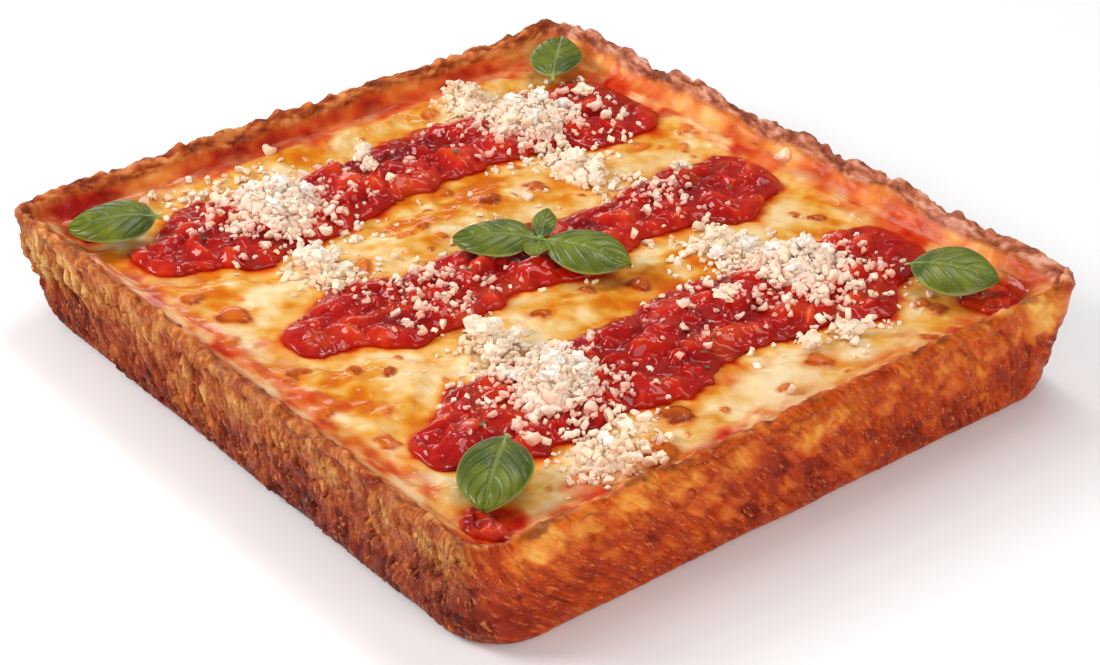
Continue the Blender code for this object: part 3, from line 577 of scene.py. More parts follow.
class Shader:
    """A material's node tree, with short calls for the few kinds of node that it uses."""

    def __init__(self, name):
        self.material = bpy.data.materials.new(name)
        self.material.use_nodes = True
        self.tree = self.material.node_tree
        self.surface = self.tree.nodes["Principled BSDF"]

    def put(self, socket, value):
        if isinstance(value, bpy.types.NodeSocket):
            self.tree.links.new(value, socket)
        else:
            socket.default_value = value

    def settle(self, **values):
        """Sets the shader's own sockets, whose names are given with _ for each space."""
        for key, value in values.items():
            self.put(self.surface.inputs[key.replace("_", " ")], value)

    def node(self, kind, inputs, **settings):
        """A new node with its settings and inputs, given by name or number."""
        node = self.tree.nodes.new("ShaderNode" + kind)
        for key, value in settings.items():
            setattr(node, key, value)
        for key, value in inputs.items():
            self.put(node.inputs[key], value)
        return node

    def kept(self, name, output="Color"):
        return self.node("Attribute", {}, attribute_name=name).outputs[output]

    def place(self):
        return self.node("TexCoord", {}).outputs["Object"]

    def noise(self, vector, lump, detail=3.0, roughness=0.55, distortion=0.0):
        inputs = {"Detail": detail, "Roughness": roughness, "Distortion": distortion}
        return self.node("TexNoise", {"Vector": vector, "Scale": 1.0 / lump, **inputs}).outputs["Fac"]

    def cells(self, vector, lump):
        return self.node("TexVoronoi", {"Vector": vector, "Scale": 1.0 / lump}).outputs

    def flakes(self, vector, lump):
        """Overlapping flakes: the tilted height of each, its own colour, and the distance from its middle."""
        cells = self.cells(vector, lump)
        off = self.node("VectorMath", {0: vector, 1: cells["Position"]}, operation="SUBTRACT")
        lean = self.node("VectorMath", {0: cells["Color"], 1: (0.5, 0.5, 0.5)}, operation="SUBTRACT")
        tilt = self.node("VectorMath", {0: off.outputs[0], 1: lean.outputs[0]}, operation="DOT_PRODUCT")
        return tilt.outputs["Value"], cells["Color"], cells["Distance"]

    def warp(self, vector, lump, amount):
        """The vector pushed about by noise of the given size, by up to about half the amount."""
        push = self.node("TexNoise", {"Vector": vector, "Scale": 1.0 / lump}).outputs["Color"]
        inputs = {0: push, 1: (amount, amount, amount), 2: vector}
        return self.node("VectorMath", inputs, operation="MULTIPLY_ADD").outputs[0]

    def ramp(self, value, *stops):
        node = self.node("ValToRGB", {"Fac": value})
        while len(node.color_ramp.elements) < len(stops):
            node.color_ramp.elements.new(0.5)
        for element, (place, colour) in zip(node.color_ramp.elements, stops):
            element.position = place
            element.color = (*colour, 1.0) if hasattr(colour, "__len__") else (colour, colour, colour, 1.0)
        return node.outputs["Color"]

    def mix(self, kind, share, first, second):
        """Two colours mixed; a plain second one is given as red, green and blue."""
        second = second if isinstance(second, bpy.types.NodeSocket) else (*second, 1.0)
        inputs = {"Factor": share, 6: first, 7: second}
        return self.node("Mix", inputs, data_type="RGBA", blend_type=kind).outputs[2]

    def maths(self, kind, first, second):
        return self.node("Math", {0: first, 1: second}, operation=kind).outputs[0]

    def bump(self, height, distance, before=None, strength=1.0):
        inputs = {"Height": height, "Distance": distance, "Strength": strength}
        if before is not None:
            inputs["Normal"] = before
        return self.node("Bump", inputs).outputs["Normal"]


def crust_material():
    """Fried crust: flakes that catch the light one by one on the walls, smooth and oily inside."""
    shader = Shader("crust_baked")
    wrap = shader.warp(shader.kept("wrap", "Vector"), 0.0030, 0.0030)
    lean, own, middle = shader.flakes(wrap, 0.0018)
    fine_lean, fine_own, fine_middle = shader.flakes(wrap, 0.0008)
    drawn_out = shader.node("VectorMath", {0: wrap, 1: (1.0, 1.0, 0.45)}, operation="MULTIPLY").outputs[0]
    fibres = shader.noise(drawn_out, 0.0008, 2.0, 0.6)
    grain = shader.noise(shader.place(), 0.0008, 3.0)
    flaky = shader.kept("flaky", "Fac")
    oily = shader.kept("oily", "Fac")
    colour = shader.kept("tint")
    # Multipliers on the flaky walls: painted shade towards each flake's edge, each flake's own tone, and
    # fibre lines whose light streaks are partly painted highlight.
    shades = (
        shader.ramp(middle, (0.3, 1.04), (0.7, (0.80, 0.70, 0.62))),
        shader.ramp(own, (0.2, (0.90, 0.85, 0.80)), (0.8, (1.10, 1.16, 1.24))),
        shader.ramp(fine_own, (0.2, (0.93, 0.90, 0.88)), (0.8, (1.07, 1.11, 1.14))),
        shader.ramp(fibres, (0.3, (0.90, 0.86, 0.82)), (0.7, (1.09, 1.13, 1.16))),
    )
    for shade in shades:
        colour = shader.mix("MULTIPLY", flaky, colour, shade)
    # Small bright specks on the flaky walls: painted glints of light on oily flake edges.
    for spots, chosen in ((shader.ramp(fine_middle, (0.18, 0.7), (0.28, 0.0)), own),
                          (shader.ramp(middle, (0.16, 0.75), (0.30, 0.0)), fine_own)):
        painted_glint = shader.maths("MULTIPLY", spots, shader.ramp(chosen, (0.46, 0.0), (0.54, 1.0)))
        painted_glint = shader.maths("MULTIPLY", painted_glint, flaky)
        colour = shader.mix("MIX", painted_glint, colour, (0.72, 0.27, 0.08))
    normal = shader.bump(lean, 0.7, strength=flaky)
    normal = shader.bump(fine_lean, 0.6, normal, flaky)
    normal = shader.bump(fibres, 0.0004, normal, flaky)
    normal = shader.bump(grain, 0.0003, normal)
    rough = shader.maths("SUBTRACT", 0.44, shader.maths("MULTIPLY", oily, 0.18))
    shader.settle(Base_Color=colour, Roughness=rough, Normal=normal)
    shader.settle(Specular_IOR_Level=0.16, Specular_Tint=(1.0, 0.72, 0.45, 1.0))
    coat = shader.maths("ADD", 0.09, shader.maths("MULTIPLY", oily, 0.05))
    shader.settle(Coat_Weight=coat, Coat_Roughness=0.18)
    shader.settle(Subsurface_Weight=shader.maths("MULTIPLY", oily, 0.4), Subsurface_Scale=0.003)
    shader.settle(Subsurface_Radius=(1.0, 0.6, 0.3))
    return shader.material


def cheese_material():
    """Melted cheese: cream and gold, soft inside, with an uneven film of oil."""
    shader = Shader("cheese_melted")
    mottle = shader.noise(shader.place(), 0.0042, 3.0, 0.55, 0.5)
    fine = shader.noise(shader.place(), 0.0012, 3.0)
    shade = shader.ramp(mottle, (0.3, (0.97, 0.90, 0.78)), (0.5, 1.0), (0.75, (1.03, 1.05, 1.08)))
    colour = shader.mix("MULTIPLY", 0.7, shader.kept("tint"), shade)
    rough = shader.ramp(shader.noise(shader.place(), 0.006, 3.0), (0.35, 0.30), (0.65, 0.5))
    normal = shader.bump(mottle, 0.0007)
    normal = shader.bump(fine, 0.00012, normal)
    shader.settle(Base_Color=colour, Roughness=rough, Normal=normal)
    shader.settle(Specular_IOR_Level=0.02, Coat_Weight=0.36, Coat_Roughness=0.08, Coat_IOR=1.42)
    shader.settle(Subsurface_Weight=0.4, Subsurface_Scale=0.003, Subsurface_Radius=(1.0, 0.6, 0.3))
    return shader.material


def sauce_material():
    """Wet crushed tomato."""
    shader = Shader("sauce_wet")
    pulp = shader.noise(shader.place(), 0.0026, 4.0, 0.55, 0.6)
    shade = shader.ramp(pulp, (0.3, (0.82, 0.6, 0.6)), (0.55, 1.0), (0.75, (1.10, 1.5, 1.3)))
    colour = shader.mix("MULTIPLY", 0.7, shader.kept("tint"), shade)
    normal = shader.bump(pulp, 0.0006)
    normal = shader.bump(shader.noise(shader.place(), 0.0010, 2.0), 0.00022, normal)
    shader.settle(Base_Color=colour, Roughness=0.36, Normal=normal)
    shader.settle(Specular_IOR_Level=0.03, Coat_Weight=0.66, Coat_Roughness=0.055, Coat_IOR=1.42)
    shader.settle(Subsurface_Weight=0.1, Subsurface_Scale=0.0015, Subsurface_Radius=(1.0, 0.15, 0.05))
    return shader.material


def grated_material():
    """Grated hard cheese: dry, pale and translucent."""
    shader = Shader("grated_dry")
    grain = shader.noise(shader.place(), 0.0006, 3.0)
    colour = shader.mix("MULTIPLY", 0.6, shader.kept("tint"), shader.ramp(grain, (0.3, 0.95), (0.7, 1.03)))
    shader.settle(Base_Color=colour, Roughness=0.5, Normal=shader.bump(grain, 0.00008))
    shader.settle(Specular_IOR_Level=0.2, Subsurface_Weight=0.3, Subsurface_Scale=0.0006)
    shader.settle(Subsurface_Radius=(1.0, 0.8, 0.65))
    return shader.material


def basil_material():
    """Fresh basil: fine cells in the blade and a soft gloss."""
    shader = Shader("basil_fresh")
    cells = shader.cells(shader.place(), 0.0007)["Distance"]
    colour = shader.mix("MULTIPLY", 0.5, shader.kept("tint"), shader.ramp(cells, (0.0, 1.12), (0.6, 0.88)))
    shader.settle(Base_Color=colour, Roughness=0.38, Normal=shader.bump(cells, 0.0001))
    shader.settle(Specular_IOR_Level=0.24, Coat_Weight=0.42, Coat_Roughness=0.28, Coat_IOR=1.42)
    shader.settle(Subsurface_Weight=0.2, Subsurface_Scale=0.0008, Subsurface_Radius=(0.6, 1.0, 0.1))
    return shader.material


def herb_material():
    shader = Shader("herb_dried")
    grain = shader.noise(shader.place(), 0.0004, 2.0)
    shader.settle(Base_Color=shader.ramp(grain, (0.3, (0.05, 0.05, 0.01)), (0.7, (0.16, 0.15, 0.04))))
    shader.settle(Roughness=0.5, Normal=shader.bump(grain, 0.0001))
    return shader.material


# Crust.


def rounded_loop(half_x, half_y, radius):
    """Points and outward directions round a rectangle with round corners, counter-clockwise."""
    points = []
    outward = []
    corners = ((1, 1), (-1, 1), (-1, -1), (1, -1))
    inner = np.array((half_x - radius, half_y - radius))
    for number, corner in enumerate(corners):
        for step in range(CORNER_STEPS + 1):
            angle = math.radians(90.0 * (number + step / CORNER_STEPS))
            direction = np.array((math.cos(angle), math.sin(angle)))
            points.append(corner * inner + radius * direction)
            outward.append(direction)
        start, side = points[-1], outward[-1]
        far = corners[(number + 1) % 4] * inner + radius * side
        steps = LONG_STEPS if number % 2 == 0 else SHORT_STEPS
        for step in range(1, steps):
            points.append(start + (far - start) * step / steps)
            outward.append(side)
    return np.array(points), np.array(outward)


def corner_radius(inset, height):
    outer = BASE_RADIUS + (RIM_RADIUS - BASE_RADIUS) * min(height / RIM_HEIGHT, 1.0)
    wall_inset = WALL_TAPER if height < RIM_HEIGHT / 2 else 0.0
    return max(outer - max(inset - wall_inset, 0.0), INNER_RADIUS)


def crest_rise(points, outward):
    size = CREST_RISE + CREST_RISE_BACK * np.maximum(outward[:, 1], 0.0)
    size = size + 0.5 * CREST_RISE_BACK * np.maximum(-outward[:, 0], 0.0)
    return size * (0.2 + flat_noise(points[:, 0], points[:, 1], CREST_LUMP, shift=3.7))


def crust_row(inset, height, wander):
    radius = corner_radius(inset, height)
    points, outward = rounded_loop(RIM_LENGTH / 2 - inset, RIM_WIDTH / 2 - inset, radius)
    above = smooth_step(0.024, 0.035, np.full(len(points), height))
    z = height + above * crest_rise(points, outward)
    at = np.column_stack((points, np.full(len(points), height)))
    cornering = (2.0 * np.abs(outward[:, 0] * outward[:, 1])) ** 2
    tuck = CORNER_TUCK * cornering * math.sin(math.pi * min(height / RIM_HEIGHT, 1.0))
    push = wander * noise(at, WALL_LUMP) - tuck * (inset < RIM_RADIUS / 2)
    return np.column_stack((points + outward * push[:, None], z))


def smooth_rows(rows, places, wanted):
    """Rows at the wanted places along the section, on smooth curves through the given rows."""
    slope = np.gradient(rows, places, axis=0)
    index = np.clip(np.searchsorted(places, wanted, side="right") - 1, 0, len(places) - 2)
    width = (places[index + 1] - places[index])[:, None, None]
    t = (wanted - places[index])[:, None, None] / width
    first = (2 * t**3 - 3 * t**2 + 1) * rows[index] + (t**3 - 2 * t**2 + t) * width * slope[index]
    second = (3 * t**2 - 2 * t**3) * rows[index + 1] + (t**3 - t**2) * width * slope[index + 1]
    return first + second


def loop_normals(points):
    across = np.roll(points, -1, axis=1) - np.roll(points, 1, axis=1)
    along = np.gradient(points, axis=0)
    normal = np.cross(across, along)
    return normal / np.maximum(np.linalg.norm(normal, axis=-1, keepdims=True), 1e-12)


def wrapped(round_place, section, radius, lean, stretch):
    """Coordinates for streaks that run up the wall at a lean and meet themselves all the way round."""
    angle = round_place / radius + lean * section / radius
    shape = np.broadcast_shapes(angle.shape, section.shape)
    spot = (radius * np.cos(angle), radius * np.sin(angle), section * stretch)
    return np.stack([np.broadcast_to(part, shape) for part in spot], -1)


def crust_fields():
    """The fine crust before relief, each point's place round and up the section, and the way it faces."""
    rows = [crust_row(*row) for row in CRUST_SECTION]
    recess = [(RECESS_INSET, RECESS_EDGE), (RECESS_INSET, RECESS_FLOOR)]
    for inset, height in recess:
        row = crust_row(inset, height, 0.0)
        row[:, 2] = height
        rows.append(row)
    section = np.vstack((CRUST_SECTION[:, :2], recess))
    places = np.concatenate(((0.0,), np.cumsum(np.hypot(*np.diff(section, axis=0).T))))
    wanted = np.concatenate((np.linspace(0.0, places[-3], SECTION_ROWS), places[-2:]))
    points = smooth_rows(np.array(rows), places, wanted)
    rim, outward = rounded_loop(RIM_LENGTH / 2, RIM_WIDTH / 2, RIM_RADIUS)
    steps = np.linalg.norm(np.roll(rim, -1, axis=0) - rim, axis=1)
    round_place = np.concatenate(((0.0,), np.cumsum(steps)[:-1]))
    return points, round_place[None, :], wanted[:, None], steps.sum(), outward


def facing(outward):
    """How much each place round the crust belongs to the right, the left, the back and the back left side."""
    right = smooth_step(0.2, 0.9, outward[:, 0])
    left = smooth_step(0.2, 0.9, -outward[:, 1])
    back = smooth_step(0.1, 0.9, outward[:, 1])
    return right, left, back, smooth_step(0.1, 0.9, -outward[:, 0]) * (1.0 - back)


def crust_relief(points, near, rope, section, outward):
    """How far the surface stands out: flakes and fingers on the walls, a rolled rim, soft waves inside."""
    relief, fields = wall_relief(points, near, section, outward)
    fields.update(add_rim(relief, points, rope, section, outward))
    inner = between(section, 0.042, 0.046, 0.050, 0.0515)
    relief += inner * 0.0005 * layered(points, 0.0062, 2, 3.9)
    return relief, fields


def wall_relief(points, near, section, outward):
    """The walls' flakes and lumps with the left one's fingers, and the values that their colours follow."""
    right = facing(outward)[0]
    uneven = warped(near, 0.0042, 0.0020, 2.9)
    tilt, own, gap = flakes(uneven, 0.0027)
    fine_tilt = flakes(uneven, 0.0014, 4.2)[0]
    pits = smooth_step(0.40, 0.75, -own)
    flaking = 0.75 * tilt + 0.60 * fine_tilt + 0.00018 * own - 0.00012 * (1.0 - gap) - 0.0004 * pits
    lumps = layered(points, 0.0065, 2, 2.2)
    mask = finger_mask(points, section, outward)
    drawn_out = warped(near, 0.006, 0.0014, 8.8) * (1.0, 1.0, 0.32)
    finger = np.clip(noise(drawn_out, 0.0015, 12.7) * 2.1, -1.0, 1.0)
    wall = between(section, 0.003, 0.009, 0.0350, 0.0375)
    relief = wall * ((1.0 - 0.5 * right) * flaking + 0.0004 * lumps) + wall * mask * 0.0014 * finger
    fields = {"own": own, "gap": gap, "pits": pits, "tilt": tilt / 0.0004}
    return relief, {**fields, "mask": mask, "finger": finger * mask}


def add_rim(relief, points, rope, section, outward):
    """Adds the crinkled rim, which on the near sides has a groove and a thin roll behind its crest."""
    back = np.maximum(outward[:, 1], 0.0)
    far = np.maximum(back, 0.7 * np.maximum(-outward[:, 0], 0.0))
    near_side = 1.0 - smooth_step(0.3, 0.9, np.maximum(outward[:, 1], -outward[:, 0]))
    crinkle = layered(warped(rope, 0.003, 0.0010, 5.0), 0.0017, 3, 9.1)
    beads = layered(points, 0.0040, 2, 6.6)
    crest = between(section, 0.0355, 0.0385, 0.0430, 0.0465)
    relief += crest * (0.00055 * crinkle + (0.0007 + 0.0005 * far) * beads)
    seam = section - 0.0378 - 0.0016 * layered(points, 0.0050, 2, 1.7)
    groove = np.exp(-((seam / 0.0005) ** 2)) * smooth_step(-0.1, 0.5, noise(points, 0.009, 8.1))
    roll = smooth_step(0.0, 0.0012, seam) * (1.0 - smooth_step(0.0410, 0.0440, section))
    relief += near_side * (0.0002 * roll - 0.0004 * groove)
    sunk = smooth_step(0.0425, 0.0445, section)
    relief -= near_side * 0.0010 * sunk * (1.0 - smooth_step(0.046, 0.050, section))
    return {"crinkle": crinkle, "groove": groove * near_side}


def finger_mask(points, section, outward):
    """Where the left wall's upper part is drawn into pale upright fingers."""
    side = smooth_step(0.3, 0.9, -outward[:, 1])
    along = points[..., 0]
    lumps = flat_noise(along, 0.0, 0.021, shift=2.6) + 0.6 * (along < -0.07)
    return side * between(section, 0.018, 0.023, 0.031, 0.035) * smooth_step(-0.05, 0.4, lumps)


def gilding(points, near):
    """How golden each point of the wall is."""
    total = np.zeros(points.shape[:-1])
    wobble = 0.42 * layered(near, 0.0040, 3, 1.9)
    for x, y, z, size, strength in GILDED:
        off = points * 1000.0 - (x, y, z)
        rows = np.hypot(np.hypot(off[..., 0], off[..., 1]), 1.3 * off[..., 2]) / size
        total = np.maximum(total, strength * (1.0 - smooth_step(0.35, 1.05, rows + wobble)))
    return total


def wall_tints(points, near, section, outward, fields, gild, blotch, mottle):
    """Golden near the top and browner below, with pale fingers; painted shade in the front corners, pits,
    flake edges, finger hollows and at the foot of all but the right wall, and painted light where flakes
    stand out.
    """
    right, left, back, _ = facing(outward)
    corner = (2.0 * np.abs(outward[:, 0] * outward[:, 1])) ** 0.5
    edge = 0.0235 + 0.0055 * layered(points, 0.014, 2, 5.5) - 0.0035 * corner
    low = 1.0 - smooth_step(-0.0055, 0.0045, section - edge)
    # Each flake's own tone, with painted shade at the flakes' edges and in the pits, and painted light where
    # a flake stands out.
    flake = 0.09 * fields["own"] + 0.07 * (1.0 - fields["gap"]) - 0.05 * fields["tilt"]
    flake = flake + 0.22 * fields["pits"]
    streak = layered(near * (1.0, 1.0, 0.55), 0.0070, 2, 6.3)
    # Darker at the front corners: painted shade.
    tone = 0.43 + 0.14 * right + (0.25 - 0.17 * right) * low + 0.16 * corner * (1.0 - back)
    tone = tone + (1.0 - 0.3 * right) * (0.17 * blotch + 0.07 * mottle + flake)
    # Pale fingers, with painted shade in the hollows between them.
    tone = tone - 0.46 * fields["finger"] - 0.04 * fields["mask"]
    tone = tone - (0.05 * left + 0.08 * right) * smooth_step(0.027, 0.034, section)
    # Painted shade at the foot of every wall but the right one, whose foot is painted lighter.
    tone = tone + (0.10 - 0.20 * right) * (1.0 - smooth_step(0.003, 0.012, section))
    tone = tone + right * (0.04 * np.exp(-(((section - 0.021) / 0.007) ** 2)) + 0.12 * streak)
    tone = tone - (0.17 + 0.14 * right) * gild
    orange = np.maximum(right, 1.0 - left)
    return blend(ramp_colours(tone, RED_BROWN), ramp_colours(tone, ORANGE_BROWN), orange)


def crust_tints(points, near, section, outward, fields):
    """The walls' colours, a brown rolled rim, and an inner side that glows orange-red."""
    right, _, back, back_left = facing(outward)
    far = np.maximum(back, back_left)
    blotch = layered(points, 0.0090, 3, 8.8)
    mottle = layered(near, 0.0036, 2, 4.4)
    gild = gilding(points, near)
    colour = wall_tints(points, near, section, outward, fields, gild, blotch, mottle)
    # The rim's tone follows its crinkles: painted highlight on their crests and painted shade in their
    # hollows, over its own blotchy browning.
    rim_tone = 0.32 + 0.16 * far + 0.70 * fields["crinkle"] + 0.22 * blotch
    rim = blend(ramp_colours(rim_tone, RIM_NEAR), ramp_colours(rim_tone, RIM_BACK_LEFT), back_left)
    rim = blend(rim, ramp_colours(rim_tone, RIM_BACK_SHEEN), back)
    over_bottom = section - (0.0398 + 0.0016 * mottle + 0.0012 * blotch - 0.0096 * far)
    over_top = section - (0.0440 + 0.0010 * blotch + 0.0020 * far)
    on_rim = smooth_step(0.0, 0.0016 + 0.004 * far, over_bottom)
    on_rim = on_rim * (1.0 - smooth_step(-0.0012, 0.0012, over_top))
    colour = blend(colour, rim, (0.80 + 0.10 * far) * on_rim)
    # Painted shadow in the groove under the near sides' rolled rim.
    colour = blend(colour, GROOVE_SHADOW, 0.75 * fields["groove"])
    inner = smooth_step(-0.0012, 0.0016, over_top)
    glossy = 0.8 * right * gild
    flaky = (1.0 - inner) * (1.0 - 0.75 * on_rim) * (1.0 - 0.3 * right) * (1.0 - glossy)
    colour = blend(colour, margin_tints(points[..., 0], points[..., 1]), inner)
    return colour, np.maximum(inner, glossy), flaky


def recess_distance(x, y):
    """How far in from the recess's edge a place is, and how much the nearest edge is a short side."""
    edge_x = RIM_LENGTH / 2 - RECESS_INSET - np.abs(x)
    edge_y = RIM_WIDTH / 2 - RECESS_INSET - np.abs(y)
    return edge_x, edge_y, np.minimum(edge_x, edge_y), smooth_step(0.005, -0.005, edge_x - edge_y)


def along_sides(x, y, squeeze, stretch, lump, shifts):
    """Noise that is drawn out along the nearest side."""
    edge_x, edge_y, _, on_short = recess_distance(x, y)
    beside_short = flat_noise(edge_x * squeeze, y * stretch, lump, 3, shifts[0])
    beside_long = flat_noise(x * stretch, edge_y * squeeze, lump, 3, shifts[1])
    return beside_long + (beside_short - beside_long) * on_short


def smear_tints(streaks):
    return ramp_colours(0.5 + 0.75 * streaks, SMEAR)


def margin_tints(x, y):
    """The crust's inner side and the cheese that has run up it: golden to deep orange-red, with smears."""
    edge = recess_distance(x, y)[2]
    patch = along_sides(x, y, 1.7, 0.75, 0.0090, (7.4, 12.8))
    depth = smooth_step(-0.0070, 0.0005, edge)
    far_right = smooth_step(0.060, 0.095, y)
    slope = ramp_colours(0.48 + 0.44 * patch + 0.18 * depth - 0.28 * far_right, SLOPE)
    zone, streaks = rim_smears(x, y)
    reach = smooth_step(-0.0036, -0.0002, edge + 0.0012 * patch)
    return stained(blend(slope, smear_tints(streaks), zone * reach), x, y)


def stained(colour, x, y):
    """A colour with the tomato stains on it."""
    stain = patches_at(x, y, STAINS, 0.006, 1.0) * (0.85 + 0.45 * flat_noise(x, y, 0.0034, 2, 8.9))
    colour = soaked(colour, RED_STAIN, stain)
    return blend(colour, DEEP_STAIN, smooth_step(0.75, 1.0, stain))


def make_crust():
    points, round_place, section, length, outward = crust_fields()
    radius = length / (2.0 * math.pi)
    lean = -0.45 + 1.25 * smooth_step(-0.5, 0.7, outward[:, 0])
    lean = np.convolve(np.pad(lean, LEAN_SOFTNESS, mode="wrap"), even_share(LEAN_SOFTNESS), "valid")
    near = wrapped(round_place, section, radius, lean, STREAK_STRETCH)
    rope = wrapped(round_place, section, radius, 0.7, 1.0) * (0.45, 0.45, 1.0)
    relief, fields = crust_relief(points, near, rope, section, outward)
    points = points + loop_normals(points) * relief[..., None]
    points[..., 2] = np.maximum(points[..., 2], 0.0)
    points[0, :, 2] = 0.0
    tints, oily, flaky = crust_tints(points, near, section, outward, fields)
    rows, count = points.shape[:2]
    faces = stack_faces(rows, count)
    faces.append(tuple(range(count))[::-1])
    faces.append(tuple(range((rows - 1) * count, rows * count)))
    extra = {"wrap": near.reshape(-1, 3), "oily": oily.ravel(), "flaky": flaky.ravel()}
    vertices, tints = points.reshape(-1, 3), tints.reshape(-1, 3)
    make_piece("crust_baked", vertices, faces, tints, crust_material(), "crust", ("crust",), extra)


# Sauce and cheese heights.


def band_edges(band, y):
    """The left and right edge of a sauce band at y, on smooth curves through its rows."""
    place = np.clip(np.asarray(y, float), band[0, 0], band[-1, 0])
    upper = np.clip(np.searchsorted(band[:, 0], place), 1, len(band) - 1)
    low, high = band[upper - 1], band[upper]
    share = (place - low[..., 0]) / (high[..., 0] - low[..., 0])
    opening, closing = np.sqrt(share * (2.0 - share)), 1.0 - np.sqrt(1.0 - share**2)
    inside = share * share * (3.0 - 2.0 * share)
    share = np.where(upper == 1, opening, np.where(upper == len(band) - 1, closing, inside))
    ends = 1.0 - np.abs(2.0 * (place - band[0, 0]) / (band[-1, 0] - band[0, 0]) - 1.0) ** 16
    edges = []
    for column, across, shift in ((1, 0.31, 1.7), (2, 0.77, 5.2)):
        edge = low[..., column] + (high[..., column] - low[..., column]) * share
        wander = flat_noise(across, place, 0.0062, 3, shift + 90.0 * band[0, column])
        edges.append(edge + EDGE_WANDER * ends * wander)
    return edges


def band_distance(x, y):
    """Roughly how far outside the nearest sauce a place lies, 0 inside it."""
    nearest = np.full(np.shape(x), 1.0)
    for band in BANDS.values():
        left, right = band_edges(band, y)
        aside = np.maximum(np.maximum(left - x, x - right), 0.0)
        beyond = np.maximum(np.maximum(band[0, 0] - y, y - band[-1, 0]), 0.0)
        nearest = np.minimum(nearest, np.hypot(aside, beyond))
    for x0, y0, half_x, half_y, _ in POOLS.values():
        away = np.hypot(x - x0, y - y0) - max(half_x, half_y)
        nearest = np.minimum(nearest, np.maximum(away, 0.0))
    return nearest


def patches_at(x, y, patches, ragged, shift):
    """How strongly a place lies in any of these patches, with uneven edges."""
    total = np.zeros(np.shape(x))
    wobble = 0.45 * flat_noise(x, y, ragged, 2, shift)
    for x0, y0, half_x, half_y, strength in patches:
        away = np.hypot((x * 1000.0 - x0) / half_x, (y * 1000.0 - y0) / half_y)
        total = np.maximum(total, strength * (1.0 - smooth_step(0.35, 1.15, away + wobble)))
    return total


def all_blisters():
    """The blisters that were placed, and small ones strewn over the open cheese."""
    rng = np.random.default_rng(5)
    blisters = list(BLISTERS)
    while len(blisters) < len(BLISTERS) + SMALL_BLISTERS:
        x, y = (rng.uniform(-reach, reach) for reach in SMALL_BLISTER_REACH)
        if band_distance(x / 1000.0, y / 1000.0) > 0.003:
            blisters.append((x, y, rng.uniform(0.7, 1.5), rng.uniform(0.2, 0.4), rng.uniform(0.3, 0.8)))
    return blisters


def blister_fields(x, y):
    """The blisters' height, the golden halo round them and their brownness at places."""
    rise = np.zeros(np.shape(x))
    halo = np.zeros(np.shape(x))
    brown = np.zeros(np.shape(x))
    spot = warped(flat(x, y), 0.0042, 0.0018, 1.1)
    spot = warped(spot, 0.0016, 0.0004, 6.1) * 1000.0
    for x0, y0, radius, height, strength in all_blisters():
        away = np.hypot(spot[..., 0] - x0, (spot[..., 1] - y0) * 1.12) / radius
        ring = np.exp(-(((away - 1.15) / 0.25) ** 2))
        rise = np.maximum(rise, height * 0.0014 * (unit(1.0 - away**2) ** 0.8 - 0.2 * ring))
        halo = np.maximum(halo, strength * (1.0 - smooth_step(0.85, 1.8, away)))
        crust = 0.70 + 0.30 * np.exp(-(((away - 0.86) / 0.16) ** 2))
        brown = np.maximum(brown, strength * (1.0 - smooth_step(0.86, 1.06, away)) * crust)
    return rise, halo, brown


def rim_smears(x, y):
    """How near the crust a place is, from 0 to 1, and streaks from -1 to 1 that run along the crust."""
    streaks = along_sides(x, y, 2.4, 1.0, 0.0085, (1.4, 6.8))
    wobble = 0.0042 * flat_noise(x, y, 0.011, 2, 4.1)
    far = smooth_step(-0.085, -0.100, x) * smooth_step(-0.090, -0.060, y)
    far = np.maximum(far, smooth_step(0.075, 0.090, y))
    zone = 1.0 - smooth_step(0.0005, 0.0100 - 0.0055 * far, recess_distance(x, y)[2] + wobble)
    patchy = 1.0 - smooth_step(-0.2, 0.3, flat_noise(x, y, 0.021, 2, 9.3))
    return zone * (1.0 - 0.35 * far * patchy), streaks


def slope_height(edge):
    """The height of the crust's inner slope, by how far in from the recess's edge a place is."""
    insets = [*CRUST_SECTION[INNER_ROWS:, 0], RECESS_INSET]
    heights = [*CRUST_SECTION[INNER_ROWS:, 1], RECESS_EDGE + 0.0004]
    return np.interp(RECESS_INSET + edge, insets, heights)


def cheese_height(x, y):
    """The solids' cheese surface with melt lumps and blisters, risen a little onto the crust at its edge."""
    away = smooth_step(BAND_MARGIN, 2.2 * BAND_MARGIN, band_distance(x, y))
    edge = recess_distance(x, y)[2]
    climb = CHEESE_CLIMB * np.exp(-np.maximum(edge, 0.0) / 0.004)
    puff = CHEESE_PUFF * (0.7 + 0.7 * flat_noise(x, y, 0.016, shift=5.1))
    zone, streaks = rim_smears(x, y)
    lumps = 0.00060 * flat_noise(x, y, 0.0078, 3, 2.4) + 0.00035 * zone * streaks
    level = CHEESE_LEVEL + away * (puff + climb) + lumps * (0.35 + 0.65 * away) + blister_fields(x, y)[0]
    film = 0.0008 + 0.0003 * flat_noise(x, y, 0.009, shift=8.4) + 0.30 * np.minimum(edge, 0.0)
    slope = slope_height(edge) + film - 0.7 * np.maximum(-0.0028 - edge, 0.0)
    return level + (slope - level) * smooth_step(0.0020, -0.0006, edge)


def raster_grid():
    """The places of a raster's points."""
    return np.meshgrid(*[np.arange(-half, half, RASTER_STEP) for half in RASTER_HALF])


def raster_window(x, y, cells):
    """A raster's rows and columns within so many cells of a place."""
    i = int((y + RASTER_HALF[1]) / RASTER_STEP)
    j = int((x + RASTER_HALF[0]) / RASTER_STEP)
    return slice(max(i - cells, 0), i + cells + 1), slice(max(j - cells, 0), j + cells + 1)


